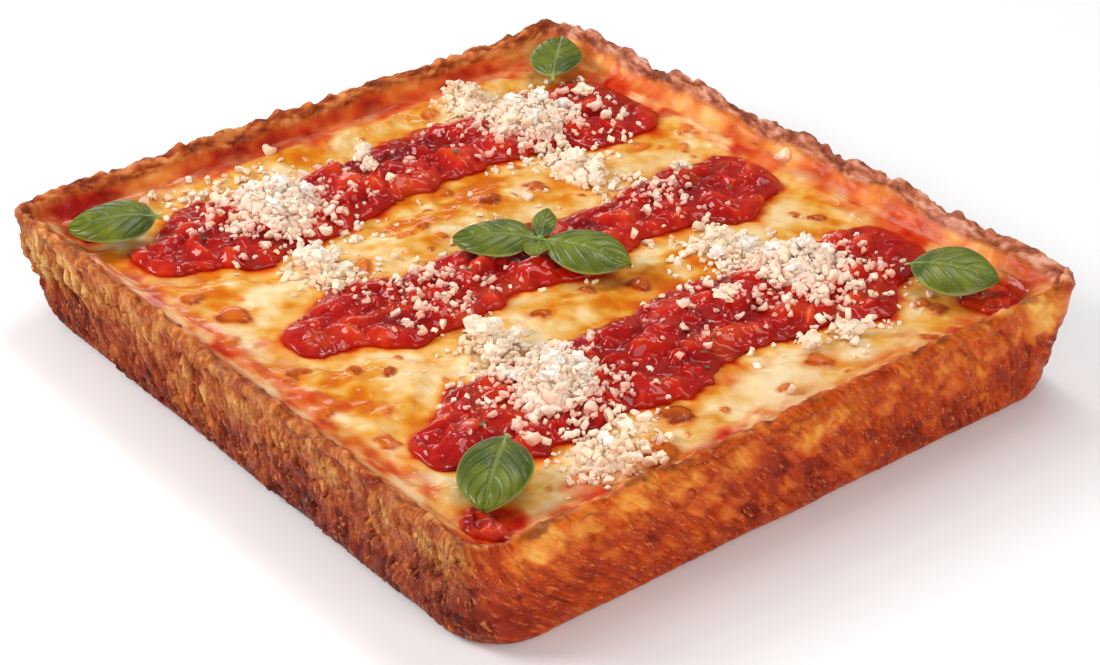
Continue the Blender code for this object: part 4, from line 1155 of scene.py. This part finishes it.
def sample(raster, x, y):
    """A raster's value at places, between its points."""
    column = np.clip((np.asarray(x, float) + RASTER_HALF[0]) / RASTER_STEP, 0, raster.shape[1] - 1.001)
    row = np.clip((np.asarray(y, float) + RASTER_HALF[1]) / RASTER_STEP, 0, raster.shape[0] - 1.001)
    i, j = row.astype(int), column.astype(int)
    v, u = row - i, column - j
    low = raster[i, j] * (1 - u) + raster[i, j + 1] * u
    high = raster[i + 1, j] * (1 - u) + raster[i + 1, j + 1] * u
    return low * (1 - v) + high * v


def even_share(cells):
    """The weights of a plain average over so many cells either way."""
    return np.ones(2 * cells + 1) / (2 * cells + 1)


def softened(raster, cells):
    """A raster averaged over squares of the given half width, twice."""
    for _ in range(2):
        for axis in (0, 1):
            raster = np.apply_along_axis(np.convolve, axis, raster, even_share(cells), "same")
    return raster


def add_chunk(raster, spot, rng, band, short, tall, low, high):
    """Raises the raster by one rounded chunk or strip of tomato, somewhere in a band."""
    y = rng.uniform(band[0, 0], band[-1, 0])
    x = rng.uniform(*band_edges(band, y))
    long = rng.uniform(short, tall)
    wide = long * (0.36 if rng.uniform() < STRIP_SHARE else rng.uniform(0.55, 0.95))
    turn = rng.uniform(0.0, math.pi)
    height = rng.uniform(low, high)
    window = raster_window(x, y, int((long + CHUNK_REACH) / RASTER_STEP) + 2)
    off_x, off_y = spot[window][..., 0] - x, spot[window][..., 1] - y
    along = (off_x * math.cos(turn) + off_y * math.sin(turn)) / long
    aside = (off_y * math.cos(turn) - off_x * math.sin(turn)) / wide
    raster[window] = np.maximum(raster[window], height * unit(1.0 - along**2 - aside**2) ** 0.8)


def chunk_raster():
    """Crushed tomato: warped chunks and strips, as a share of their full height."""
    rng = np.random.default_rng(31)
    spot = warped(flat(*raster_grid()), 0.0066, 0.0022, 3.3)
    spot = warped(spot, 0.0021, 0.0005, 9.4)
    raster = np.zeros(spot.shape[:-1])
    for band in BANDS.values():
        for number, *sizes in CHUNKS:
            for _ in range(number):
                add_chunk(raster, spot, rng, band, *sizes)
    return sum([np.roll(raster, step, axis) for step in (1, -1) for axis in (0, 1)], raster) / 5


def band_relief(x, y, across, along, chunks):
    """A band's thickness: the solids' round shoulders, with chunks in relief."""
    round_over = unit(1.0 - np.abs(across) ** 2.6) ** 0.6
    ends = unit(1.0 - np.abs(along) ** 8) ** 0.6
    body = (BAND_THICKNESS - BAND_EDGE) * (1.0 + 0.25 * flat_noise(x, y, 0.010, shift=8.3)) - 0.0017
    wrinkle = 0.00052 * flat_noise(x, y, 0.0036, 3, 4.8)
    return BAND_EDGE * 0.5 + round_over * ends * (body + 0.0040 * sample(chunks, x, y) + wrinkle)


def sauce_tints(x, y, chunks, thickness):
    """Deep red, lighter and more orange on the chunks' tops, in patches and where the sauce is thin."""
    patch = flat_noise(x, y, 0.0075, 3, 7.7)
    colour = ramp_colours(0.22 + 0.60 * sample(chunks, x, y) + 0.30 * patch, TOMATO)
    orange = smooth_step(0.30, 0.85, flat_noise(x, y, 0.0100, 2, 3.1))
    colour = blend(colour, SAUCE_ORANGE, 0.5 * orange)
    return blend(colour, SAUCE_THIN, 0.4 * (1.0 - smooth_step(0.0010, 0.0026, thickness)))


def make_band(name, band, chunks, material):
    axes = [np.linspace(-1.0, 1.0, steps + 1) for steps in (BAND_COLUMNS, BAND_ROWS)]
    across, along = np.meshgrid(*axes)
    first, last = band[0, 0], band[-1, 0]
    y = (first + last) / 2 + along * (last - first) / 2
    left, right = band_edges(band, y)
    x = (left + right) / 2 + across * (right - left) / 2
    thickness = band_relief(x, y, across, along, chunks)
    top = np.column_stack((x.ravel(), y.ravel(), (SAUCE_BASE + thickness).ravel()))
    vertices, faces, border = closed_sheet(top, BAND_COLUMNS, BAND_ROWS, SAUCE_FLOOR)
    tints = sauce_tints(x.ravel(), y.ravel(), chunks, thickness.ravel())
    make_piece(name + "_wet", vertices, faces, np.vstack((tints, tints[border])), material, "sauce", (name,))
    return x, y, SAUCE_BASE + thickness


def make_pool(name, place, material):
    """A small puddle of thin sauce with an uneven outline."""
    x0, y0, half_x, half_y, degrees = place
    turn = math.radians(degrees)
    shares = np.arange(1, POOL_RINGS + 1) / POOL_RINGS
    share, angle = np.meshgrid(shares, 2.0 * math.pi * np.arange(POOL_SIDES) / POOL_SIDES, indexing="ij")
    wobble = 1.0 + 0.16 * np.sin(3.0 * angle + x0 * 900.0) + 0.05 * np.sin(7.0 * angle)
    along = half_x * share * wobble * np.cos(angle)
    aside = half_y * share * wobble * np.sin(angle)
    x = x0 + along * math.cos(turn) - aside * math.sin(turn)
    y = y0 + along * math.sin(turn) + aside * math.cos(turn)
    z = SAUCE_BASE + POOL_HEIGHT * np.sqrt(1.0 - share**2.2)
    z += (1.0 - share**3) * 0.0010 * flat_noise(x, y, 0.0026, 2, 2.9)
    points = np.stack((x, y, z), -1).reshape(-1, 3)
    floor = points[-POOL_SIDES:] * (1.0, 1.0, 0.0) + (0.0, 0.0, SAUCE_FLOOR)
    points = np.vstack((points, floor))
    faces = flipped(stack_faces(POOL_RINGS + 1, POOL_SIDES))
    faces.append(tuple(range(POOL_SIDES)))
    faces.append(tuple(range(len(points) - POOL_SIDES, len(points)))[::-1])
    tints = blend(POOL_DARK, POOL_LIGHT, 0.40 + flat_noise(points[:, 0], points[:, 1], 0.0035, 2, 5.0))
    make_piece(name + "_wet", points, faces, tints, material, "sauce", (name,))


def cheese_grid():
    """A fine grid over the cheese, out to the crust's inner slope, drawn in at the round corners."""
    half_x = RIM_LENGTH / 2 - RECESS_INSET + CHEESE_OVERLAP
    half_y = RIM_WIDTH / 2 - RECESS_INSET + CHEESE_OVERLAP
    radius = corner_radius(RECESS_INSET, RECESS_EDGE) + CHEESE_OVERLAP
    u, v = np.meshgrid(*[np.linspace(-1.0, 1.0, steps + 1) for steps in (CHEESE_STEPS_X, CHEESE_STEPS_Y)])
    ring = np.maximum(np.abs(u), np.abs(v))
    off_x = np.abs(u) * half_x - ring * (half_x - radius)
    off_y = np.abs(v) * half_y - ring * (half_y - radius)
    in_corner = (off_x > 0.0) & (off_y > 0.0)
    scale = np.where(in_corner, ring * radius / np.maximum(np.hypot(off_x, off_y), 1e-9), 1.0)
    x = np.where(in_corner, ring * (half_x - radius) + off_x * scale, np.abs(u) * half_x)
    y = np.where(in_corner, ring * (half_y - radius) + off_y * scale, np.abs(v) * half_y)
    return np.copysign(x, u), np.copysign(y, v)


def cheese_tints(x, y):
    """Cream to gold in soft clouds with warm painted shade under the basil leaves, orange and red beside the
    sauce and the crust, brown blisters.
    """
    cloud = flat_noise(x, y, 0.0105, 2, 1.4)
    fine = flat_noise(x, y, 0.0040, 2, 5.4)
    # Golden patches, some of which are warm painted shade under the basil leaves.
    golden = patches_at(x, y, GOLDEN_AND_LEAF_SHADE, 0.008, 3.0)
    colour = ramp_colours(0.73 + 0.44 * cloud + 0.30 * fine - 0.76 * golden, MELTED)
    milky = patches_at(x, y, MILKY_PATCHES, 0.006, 11.0) * (1.0 - 0.7 * golden)
    colour = blend(colour, MILK, 0.75 * milky)
    beside = band_distance(x, y) + 0.0016 * flat_noise(x, y, 0.0050, 2, 6.0)
    colour = soaked(colour, ORANGE_STAIN, 0.75 * (1.0 - smooth_step(0.0004, 0.0056, beside)))
    colour = soaked(colour, RED_STAIN, 0.9 * (1.0 - smooth_step(-0.0006, 0.0018, beside)))
    zone, streaks = rim_smears(x, y)
    colour = stained(blend(colour, smear_tints(streaks), 0.95 * zone * (1.0 - 0.8 * golden)), x, y)
    halo, brown = blister_fields(x, y)[1:]
    colour = blend(colour, HALO, 0.85 * halo)
    colour = blend(colour, blend(TOAST, DARK_TOAST, 2.2 * (brown - 0.42) + 0.40 * fine), 1.9 * brown)
    edge = recess_distance(x, y)[2]
    return blend(colour, margin_tints(x, y), smooth_step(0.0015, -0.0015, edge))


def make_cheese():
    x, y = cheese_grid()
    top = np.column_stack((x.ravel(), y.ravel(), cheese_height(x, y).ravel()))
    vertices, faces, border = closed_sheet(top, CHEESE_STEPS_X, CHEESE_STEPS_Y, RECESS_FLOOR + GAP)
    tints = cheese_tints(x.ravel(), y.ravel())
    tints = np.vstack((tints, tints[border]))
    make_piece("cheese_melted", vertices, faces, tints, cheese_material(), "cheese", ("cheese",))


# Grated cheese.


def mesh_arrays(shape):
    """A new shape's points and faces, after which it is freed."""
    points = np.array([vertex.co for vertex in shape.verts])
    faces = np.array([[vertex.index for vertex in face.verts] for face in shape.faces])
    shape.free()
    return points, faces


def ball(level):
    shape = bmesh.new()
    bmesh.ops.create_icosphere(shape, subdivisions=level, radius=1.0)
    return mesh_arrays(shape)


def block(cuts):
    """A cube's surface cut into triangles, as points from -1 to 1 and faces."""
    shape = bmesh.new()
    bmesh.ops.create_cube(shape, size=2.0)
    bmesh.ops.subdivide_edges(shape, edges=shape.edges[:], cuts=cuts, use_grid_fill=True)
    bmesh.ops.triangulate(shape, faces=shape.faces[:])
    return mesh_arrays(shape)


def turned(points, rng, flatness=1.0):
    """Points turned at random; a low flatness keeps them lying near level."""
    axis = Vector((rng.normal(), rng.normal(), 0.4 * rng.normal())).normalized()
    tilt = Matrix.Rotation(rng.uniform(-math.pi, math.pi) * flatness, 3, axis)
    spin = Matrix.Rotation(rng.uniform(0.0, 2.0 * math.pi), 3, "Z")
    return points @ np.array(spin @ tilt).T


def spun(points, angle):
    """Points turned about the upright axis."""
    return points @ np.array(Matrix.Rotation(angle, 3, "Z")).T


def chip(rng, base):
    """A blunt block, skewed, bent and dented in its own way."""
    points = base * (1.0, rng.uniform(0.5, 0.9), rng.uniform(0.42, 0.75))
    along = points[:, :1].copy()
    points[:, 1:] *= 1.0 + rng.uniform(-0.5, 0.5, 2) * along
    points[:, 1:] += rng.uniform(-0.35, 0.35, 2) * along
    points[:, 1:] += rng.uniform(-0.35, 0.35, 2) * (along**2 - 0.4)
    for _ in range(3):
        spot = base[rng.integers(len(base))] * 0.8
        dent = np.exp(-((np.linalg.norm(base - spot, axis=1) / 0.55) ** 2))
        points -= 0.24 * dent[:, None] * spot
    return points


def chips(rng, count, cuts):
    """Templates for crumbs: single chips, and some with smaller ones stuck to them."""
    templates = []
    base, faces = block(cuts)
    base = base / (np.abs(base) ** 6).sum(1, keepdims=True) ** (1.0 / 6.0)
    for number in range(count):
        parts = [chip(rng, base)]
        for _ in range((number % 3 == 1) + 2 * (number % 5 == 4)):
            stuck = chip(rng, base) * rng.uniform(0.55, 0.85)
            parts.append(turned(stuck, rng) + rng.uniform(-0.75, 0.75, 3))
        points = np.vstack(parts)
        joined = np.vstack([faces + part * len(base) for part in range(len(parts))])
        templates.append((points / np.abs(points).max(), joined))
    return templates


def lump(rng, templates, count):
    """Chips stuck together into one knobbly lump inside a ball, with how far out each point lies."""
    points = []
    faces = []
    start = 0
    for _ in range(count):
        shape, cuts = templates[rng.integers(len(templates))]
        where = rng.normal(size=3)
        where *= 0.62 * rng.uniform(0.5, 1.0) / np.linalg.norm(where)
        points.append(turned(shape, rng) * rng.uniform(0.38, 0.62) + where)
        faces.append(cuts + start)
        start += len(shape)
    points = np.vstack(points)
    middle = (points.max(0) + points.min(0)) / 2
    points = (points - middle) / ((points.max(0) - points.min(0)) / 2)
    return points, np.vstack(faces), np.linalg.norm(points, axis=1)


def granules(x, y, size, shift):
    """Packed crumbs of about the given size seen from above: their height in sizes."""
    scaled = flat(x, y)[..., :2] / size + shift
    corner = np.floor(scaled).astype(int)
    height = np.zeros(scaled.shape[:-1])
    layer = int(7.0 * shift) % LATTICE
    for step in np.ndindex(3, 3):
        cell = corner + np.array(step) - 1
        column, row = np.moveaxis(cell % LATTICE, -1, 0)
        first = JITTER[column, row, layer]
        second = JITTER[row, column, (layer + 11) % LATTICE]
        off = scaled - cell - first[..., :2]
        turn = 2.0 * math.pi * first[..., 2]
        along = off[..., 0] * np.cos(turn) + off[..., 1] * np.sin(turn)
        aside = off[..., 1] * np.cos(turn) - off[..., 0] * np.sin(turn)
        long = 0.55 + 0.45 * second[..., 0]
        wide = long * (0.5 + 0.45 * second[..., 1])
        dome = unit(1.0 - np.abs(along / long) ** 3 - np.abs(aside / wide) ** 3) ** 0.5
        tall = 0.30 + 0.45 * second[..., 2] + 0.3 * (second[..., 0] - 0.5) * along
        height = np.maximum(height, dome * tall)
    return height


class Ground:
    """The topmost height over the pizza, raised by each crumb that comes to rest on it."""

    def __init__(self, raster):
        self.raster = raster

    def window(self, x, y, reach):
        return raster_window(x, y, max(int(reach / RASTER_STEP), 1))

    def rest(self, x, y, reach):
        return float(self.raster[self.window(x, y, 0.7 * reach)].mean())

    def raise_to(self, x, y, reach, height):
        window = self.window(x, y, 0.75 * reach)
        self.raster[window] = np.maximum(self.raster[window], height)


class Pieces:
    """Many small meshes gathered into one, with a colour for each point."""

    def __init__(self):
        self.points = []
        self.faces = []
        self.tints = []
        self.count = 0

    def add(self, points, faces, tints):
        self.points.append(points)
        self.faces.append(np.asarray(faces) + self.count)
        self.tints.append(np.broadcast_to(tints, points.shape))
        self.count += len(points)

    def arrays(self):
        faces = [face for part in self.faces for face in part.tolist()]
        return np.vstack(self.points), faces, np.vstack(self.tints)


class Crumbs(Pieces):
    """Pieces that come to rest one after another on the ground, with painted shade on their lower parts that
    is pink where they lie on the sauce.
    """

    def __init__(self, rng, ground, under):
        super().__init__()
        self.rng = rng
        self.ground = ground
        self.under = under

    def drop(self, templates, place, length, cream, tries=3):
        """Lets one crumb come to rest at the lowest of a few spots near a place."""
        spots = []
        for _ in range(tries):
            x = place[0] + self.rng.normal() * 0.0007
            y = place[1] + self.rng.normal() * 0.0007
            spots.append((x, y, self.ground.rest(x, y, length / 2)))
        x, y, z = min(spots, key=lambda spot: spot[2])
        shape, faces = templates[self.rng.integers(len(templates))]
        points = turned(shape, self.rng, 0.35) * length / 2
        tall = points[:, 2].max() - points[:, 2].min()
        z = min(z, CRUMB_CEILING - (1.0 - CRUMB_SINK) * tall)
        points = points + (x, y, z - points[:, 2].min() - CRUMB_SINK * tall)
        self.ground.raise_to(x, y, length / 2, z + (0.85 - CRUMB_SINK) * tall)
        tone = blend(WHITE, CREAM, cream + 0.18 * self.rng.normal())
        # Painted shade on each crumb's lower part, and pink painted shade where it lies on the sauce.
        share = (points[:, 2] - points[:, 2].min()) / tall
        tints = blend(SHADED, tone, 0.42 + 0.80 * share)
        below = float(sample(self.under, x, y))
        if below > CHEESE_LEVEL + 0.0022:
            tints = blend(tints, PINK_SHADE_ON_SAUCE, 0.62 * (1.0 - smooth_step(0.0002, 0.0024, points[:, 2] - below)))
        self.add(points, faces, tints)

    def sprinkle(self, templates, lobe, number, spread, size, cream, tries=3):
        """Strews crumbs over a lobe."""
        for _ in range(number):
            place = strew(self.rng, lobe, spread)
            self.drop(templates, place, size * crumb_length(self.rng), cream, tries)

    def clump(self, templates, x, y, size, cream):
        """Lays down one clump of chips that stick together."""
        points, faces, out = lump(self.rng, templates, int(5 + 900 * size))
        long, wide = size / 2 * self.rng.uniform(0.9, 1.1), size / 2 * self.rng.uniform(0.75, 1.0)
        points = spun(points * (long, wide, 0.36 * size), self.rng.uniform(0.0, 2.0 * math.pi))
        z = self.ground.rest(x, y, size / 3)
        z = min(z + 0.18 * size, CLUMP_CEILING - points[:, 2].max())
        self.ground.raise_to(x, y, size / 2.6, z + 0.23 * size)
        self.add(points + (x, y, z), faces, blend(SHADED, blend(MILKY, CREAM, cream), 0.2 + 1.1 * out))


def strew(rng, lobe, spread):
    """A place in or near a patch and inside the crust, likeliest in the patch's middle."""
    while True:
        radius = spread * math.sqrt(-2.0 * math.log(rng.uniform(0.02, 1.0)))
        angle = rng.uniform(0.0, 2.0 * math.pi)
        x, y = lobe[0] + lobe[2] * radius * math.cos(angle), lobe[1] + lobe[3] * radius * math.sin(angle)
        if radius < STREWN_LIMIT and recess_distance(x, y)[2] > 0.0025:
            return x, y


def crumb_length(rng):
    return float(np.clip(rng.lognormal(math.log(0.0022), 0.36), 0.0011, 0.0042))


def core_wobble(angle, seed):
    return 0.92 + 0.12 * np.sin(3.0 * angle + seed) + 0.08 * np.sin(5.0 * angle + 2.0 * seed)


def core_crumbs(x, y, seed):
    """The coarse and the fine crumbs in relief on a heap's packed middle."""
    return granules(x, y, 0.0034, seed + 0.3), granules(x, y, 0.0017, seed + 0.7)


def core_height(lobe, x, y, below, soft, seed):
    """A heap's packed middle: its height at places, and how far out they lie, 1 at its edge."""
    x0, y0, half_x, half_y, rise = lobe
    off_x, off_y = (x - x0) / (CORE_SHARE * half_x), (y - y0) / (CORE_SHARE * half_y)
    share = np.hypot(off_x, off_y) / core_wobble(np.arctan2(off_y, off_x), seed)
    base = sample(below, x, y)
    base = base + np.maximum(sample(soft, x, y) - base, 0.0) * (1.0 - smooth_step(0.75, 1.0, share))
    coarse, fine = core_crumbs(x, y, seed)
    crumbs = (0.0030 * coarse + 0.0011 * fine) * unit(1.0 - share**2.4) ** 0.5
    mound = 0.52 * rise * (1.0 + 0.35 * flat_noise(x, y, 0.008, shift=seed)) * unit(1.0 - share**1.7)
    return base + mound + crumbs - 0.0010 * np.clip(share - 0.85, 0.0, 0.4) / 0.15, share


def add_core(crumbs, lobe, seed, main):
    """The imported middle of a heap, whose crumbs are relief, under the loose ones."""
    ground = crumbs.ground.raster
    x0, y0, half_x, half_y, _ = lobe
    rings, sides = CORE_CUTS if main else CORE_CUTS_SIDE
    shares, angles = np.arange(rings + 1) / rings, 2.0 * math.pi * np.arange(sides) / sides
    share, angle = np.meshgrid(shares, angles, indexing="ij")
    wobble = core_wobble(angle, seed)
    x = x0 + CORE_SHARE * half_x * share * wobble * np.cos(angle)
    y = y0 + CORE_SHARE * half_y * share * wobble * np.sin(angle)
    soft = softened(ground, CORE_SOFTNESS)
    points = np.stack((x, y, core_height(lobe, x, y, ground, soft, seed)[0]), -1)
    quads = np.array(stack_faces(rings + 1, sides))
    coarse, fine = core_crumbs(x, y, seed)
    light = 0.22 + 1.45 * (coarse + 0.4 * fine) - 0.25 * share**4
    on_sauce = smooth_step(CHEESE_LEVEL + 0.0020, CHEESE_LEVEL + 0.0034, sample(crumbs.under, x, y))
    # Painted shade in the gaps between the core's crumbs, dark red where the heap lies on the sauce, and
    # painted light on the crumbs' tops.
    tints = blend(blend(SHADED, SHADED_SAUCE, on_sauce * smooth_step(0.30, 0.85, share)), WHITE, light)
    faces = np.vstack((quads[:, (0, 3, 2)], quads[:, (0, 2, 1)]))
    crumbs.add(points.reshape(-1, 3), faces, tints.reshape(-1, 3))
    grid_x, grid_y = raster_grid()
    near = (np.abs(grid_x - x0) < half_x) & (np.abs(grid_y - y0) < half_y)
    heights, out = core_height(lobe, grid_x[near], grid_y[near], ground, soft, seed)
    ground[near] = np.where(out < 1.0, np.maximum(heights, ground[near]), ground[near])


def make_heaps(ground, under, material):
    rng = np.random.default_rng(404)
    templates = chips(rng, 24, 2)
    small = chips(rng, 24, 1)
    for seed, (name, lobes) in enumerate(HEAPS.items()):
        crumbs = Crumbs(rng, ground, under)
        mains = [number == 0 and name != PATCH for number in range(len(lobes))]
        for number, lobe in enumerate(lobes):
            add_core(crumbs, lobe, seed + 21 + number, mains[number])
        for lobe, main in zip(lobes, mains):
            crumbs.sprinkle(templates, lobe, *(CRUMBS_MAIN if main else CRUMBS_SIDE))
        x0, y0, half_x, half_y, _ = lobes[0]
        for x, y, size in metres(CLUMPS[name]):
            on_main = math.hypot((x - x0) / half_x, (y - y0) / half_y) < 1.0
            crumbs.clump(templates, x, y, size, 0.05 if on_main else 0.6)
        if name != PATCH:
            crumbs.sprinkle(small, lobes[0], *CRUMBS_FINE)
            crumbs.sprinkle(small, lobes[0], *CRUMBS_AROUND)
        make_piece(name + "_crumbs", *crumbs.arrays(), material, "grated_cheese", (name,), smooth=False)
    crumbs = Crumbs(rng, ground, under)
    for *lobe, number, cream in SCATTERED:
        crumbs.sprinkle(small, metres(lobe), number, SCATTERED_SPREAD, SCATTERED_SIZE, cream, 1)
    for x, y, size in LONE:
        crumbs.drop(templates, (x, y), size, 0.7, 1)
    make_piece("grated_loose", *crumbs.arrays(), material, "grated_cheese", (), smooth=False)


def fitted_to(name, points):
    """Points moved so that their box has the same middle as a solid's."""
    low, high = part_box(name)
    middle = (np.array(low) + np.array(high)) / 2 - SHIFT
    return points + middle - (points.max(0) + points.min(0)) / 2


def make_flakes(ground, material):
    rng = np.random.default_rng(55)
    templates = chips(rng, 24, 2)
    for name, (x, y, length, width, turn) in FLAKES.items():
        points, faces, out = lump(rng, templates, 12)
        points = fitted_to(name, spun(points * (length / 2, width / 2, FLAKE_HEIGHT / 2), math.radians(turn)))
        tints = blend(SHADED, blend(WHITE, CREAM, 0.5), 0.1 + 1.1 * out)
        faces = faces.tolist()
        make_piece(name + "_chip", points, faces, tints, material, "grated_cheese", (name,), smooth=False)
        ground.raise_to(x, y, width / 2, float(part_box(name)[1].z))


# Basil and herbs.


def leaf_width(share):
    blade = unit((share - STALK_SHARE) / (1.0 - STALK_SHARE))
    return blade**0.62 * (1.0 - blade) ** 0.72 / 0.3965


def leaf_veins(s, t, width):
    """How strongly a place lies on a side vein, and on the midrib."""
    reach = np.abs(t)
    phase = (s - 0.42 * reach**1.3) / 0.19 + 0.25 * np.sign(t) + 20.0 * width
    off = np.abs(phase - np.round(phase))
    veins = np.exp(-((off / 0.075) ** 2)) * (1.0 - 0.75 * reach**3)
    return np.maximum(veins, 0.0), np.exp(-((t / 0.055) ** 2))


def leaf_tints(s, t, veins, rib, top):
    """Two greens in patches under a painted gradient of shade, lighter towards the tip, with painted shade
    beside the veins, pale on veins, midrib, edge and stalk; duller below.
    """
    patch = layered(top, 0.006, 2, 3.1).reshape(s.shape)
    flanks = 4.0 * unit(veins) * (1.0 - unit(veins)) * (veins < 0.6)
    # Lighter towards the tip and darker at the base: painted shade.
    colour = blend(LEAF_DARK, LEAF_LIGHT, 0.42 + 0.6 * patch + 0.5 * (s - 0.5))
    colour = blend(colour, LEAF_SHADOW, 0.5 * flanks)
    colour = blend(colour, LEAF_VEIN, 0.40 * veins**3 * smooth_step(0.12, 0.3, s))
    colour = blend(colour, LEAF_RIB, 0.75 * rib * (1.0 - 0.6 * s))
    colour = blend(colour, LEAF_EDGE, 0.75 * smooth_step(0.94, 1.0, np.abs(t)))
    colour = blend(colour, LEAF_STALK, 1.0 - smooth_step(0.02, 0.14, s)).reshape(-1, 3)
    return np.vstack((colour, 0.8 * colour + 0.02))


def leaf_mesh(base, tip, width, roll, arch, bow):
    """A leaf as in the solids, with a sunk midrib, arched side veins and the blade puffed between them."""
    base = np.array(base)
    run = np.array(tip) - base
    length = np.linalg.norm(run)
    ahead = run / length
    aside = np.cross((0.0, 0.0, 1.0), ahead)
    aside /= np.linalg.norm(aside)
    up = np.cross(ahead, aside)
    turn = math.radians(roll)
    aside, up = aside * math.cos(turn) + up * math.sin(turn), up * math.cos(turn) - aside * math.sin(turn)
    share = np.sin(np.linspace(0.0, 1.0, LEAF_ROWS + 1) * math.pi / 2) ** 1.3
    t, s = np.meshgrid(np.linspace(-1.0, 1.0, LEAF_COLUMNS + 1), share)
    half = np.maximum(width / 2 * leaf_width(s), 0.0006)
    lift = arch * (1.0 - (2.0 * s - 1.0) ** 2) - bow * (t * half / (width / 2)) ** 2
    lift = lift + LEAF_WAVE * np.sin(7.0 * s + 2.0 * t + 100.0 * width) * np.abs(t)
    veins, rib = leaf_veins(s, t, width)
    puff = (1.0 - veins) * np.abs(t) ** 0.4 * (1.0 - np.abs(t) ** 6)
    size = length / LEAF_USUAL_LENGTH
    lift = lift + size * (0.0010 * puff - 0.0007 * rib) * smooth_step(0.1, 0.25, s)
    top = base + ahead * (length * s)[..., None] + aside * (half * t)[..., None] + up * lift[..., None]
    thin = LEAF_THICKNESS * (0.35 + 0.65 * (1.0 - np.abs(t) ** 4))
    under = top - up * thin[..., None]
    top, under = top.reshape(-1, 3), under.reshape(-1, 3)
    count = len(top)
    faces = flipped(grid_faces(LEAF_COLUMNS, LEAF_ROWS))
    faces += [tuple(number + count for number in face[::-1]) for face in faces]
    border = grid_border(LEAF_COLUMNS, LEAF_ROWS)
    faces += ring_faces(border, [number + count for number in border])
    return np.vstack((top, under)), faces, leaf_tints(s, t, veins, rib, top)


def make_basil(material):
    for name, place in LEAVES.items():
        points, faces, tints = leaf_mesh(*place)
        make_piece(name + "_leaf", fitted_to(name, points), faces, tints, material, "basil", (name,))
    sprig = Pieces()
    for place in SPRIG:
        sprig.add(*leaf_mesh(*place))
    knot, knot_faces = ball(3)
    sprig.add(knot * SPRIG_KNOT_RADIUS + np.array(SPRIG_KNOT), knot_faces, KNOT_GREEN)
    points, faces, tints = sprig.arrays()
    points = fitted_to("basil_sprig", points)
    make_piece("basil_sprig_leaves", points, faces, tints, material, "basil", ("basil_sprig",))


def make_herbs(ground):
    rng = np.random.default_rng(8)
    pieces = Pieces()
    for x, y in metres(HERBS):
        points, faces = ball(2)
        points = turned(points * HERB_SIZE, rng, 0.1)
        height = ground.rest(x, y, HERB_SIZE[1]) + HERB_SIZE[2]
        pieces.add(points + (x, y, height), faces, HERB_GREEN)
    make_piece("herb_flecks", *pieces.arrays(), herb_material(), "sauce")


# Studio.


def make_camera():
    azimuth, elevation, roll = (math.radians(a) for a in (CAMERA_AZIMUTH, CAMERA_ELEVATION, CAMERA_ROLL))
    level_share = math.cos(elevation)
    back = Vector((math.sin(azimuth) * level_share, -math.cos(azimuth) * level_share, math.sin(elevation)))
    level = Vector((math.cos(azimuth), math.sin(azimuth), 0.0))
    rise = back.cross(level)
    right = level * math.cos(roll) + rise * math.sin(roll)
    up = rise * math.cos(roll) - level * math.sin(roll)
    data = bpy.data.cameras.new("camera")
    data.lens = CAMERA_LENS
    data.sensor_width = 36.0
    data.sensor_fit = "HORIZONTAL"
    data.clip_start = 0.01
    camera = bpy.data.objects.new("camera", data)
    turn = Matrix((right, up, back)).transposed().to_4x4()
    camera.matrix_world = Matrix.Translation(CAMERA_PLACE) @ turn
    bpy.context.scene.collection.objects.link(camera)
    bpy.context.scene.camera = camera


def add_light(name, place, aim_height, size, power):
    data = bpy.data.lights.new(name, "AREA")
    data.shape = "RECTANGLE"
    data.size, data.size_y = size
    data.energy = power
    light = bpy.data.objects.new(name, data)
    light.location = place
    aim = Vector((0.0, 0.0, aim_height)) - Vector(place)
    light.rotation_euler = aim.to_track_quat("-Z", "Y").to_euler()
    bpy.context.scene.collection.objects.link(light)


def make_studio():
    world = bpy.data.worlds.new("studio")
    world.use_nodes = True
    background = world.node_tree.nodes["Background"]
    background.inputs["Color"].default_value = (1.0, 1.0, 1.0, 1.0)
    background.inputs["Strength"].default_value = WORLD_STRENGTH
    bpy.context.scene.world = world
    for light in LIGHTS:
        add_light(*light)
    bpy.context.scene.view_settings.view_transform = "Standard"
    mesh = bpy.data.meshes.new("floor")
    corners = [(x * FLOOR_HALF, y * FLOOR_HALF, 0.0) for x, y in ((-1, -1), (1, -1), (1, 1), (-1, 1))]
    mesh.from_pydata(corners, [], [(0, 1, 2, 3)])
    floor = bpy.data.objects.new("floor", mesh)
    bpy.context.scene.collection.objects.link(floor)
    shader = Shader("floor_pale")
    grain = shader.noise(shader.place(), 0.02, 2.0)
    shader.settle(Base_Color=shader.ramp(grain, (0.0, 0.94), (1.0, 0.96)), Roughness=0.9)
    mesh.materials.append(shader.material)


def make_ground(bands):
    """The heights of cheese and sauce as one raster."""
    raster = cheese_height(*raster_grid())
    for x, y, z in bands:
        i = ((y + RASTER_HALF[1]) / RASTER_STEP).astype(int)
        j = ((x + RASTER_HALF[0]) / RASTER_STEP).astype(int)
        for down, across in np.ndindex(2, 2):
            np.maximum.at(raster, (i + down, j + across), z)
    return raster


def main():
    make_camera()
    make_studio()
    make_crust()
    make_cheese()
    chunks = chunk_raster()
    wet = sauce_material()
    bands = [make_band(name, band, chunks, wet) for name, band in BANDS.items()]
    for name, place in POOLS.items():
        make_pool(name, place, wet)
    raster = make_ground(bands)
    ground = Ground(raster.copy())
    grated = grated_material()
    make_flakes(ground, grated)
    make_heaps(ground, raster, grated)
    make_basil(basil_material())
    make_herbs(Ground(raster))


main()
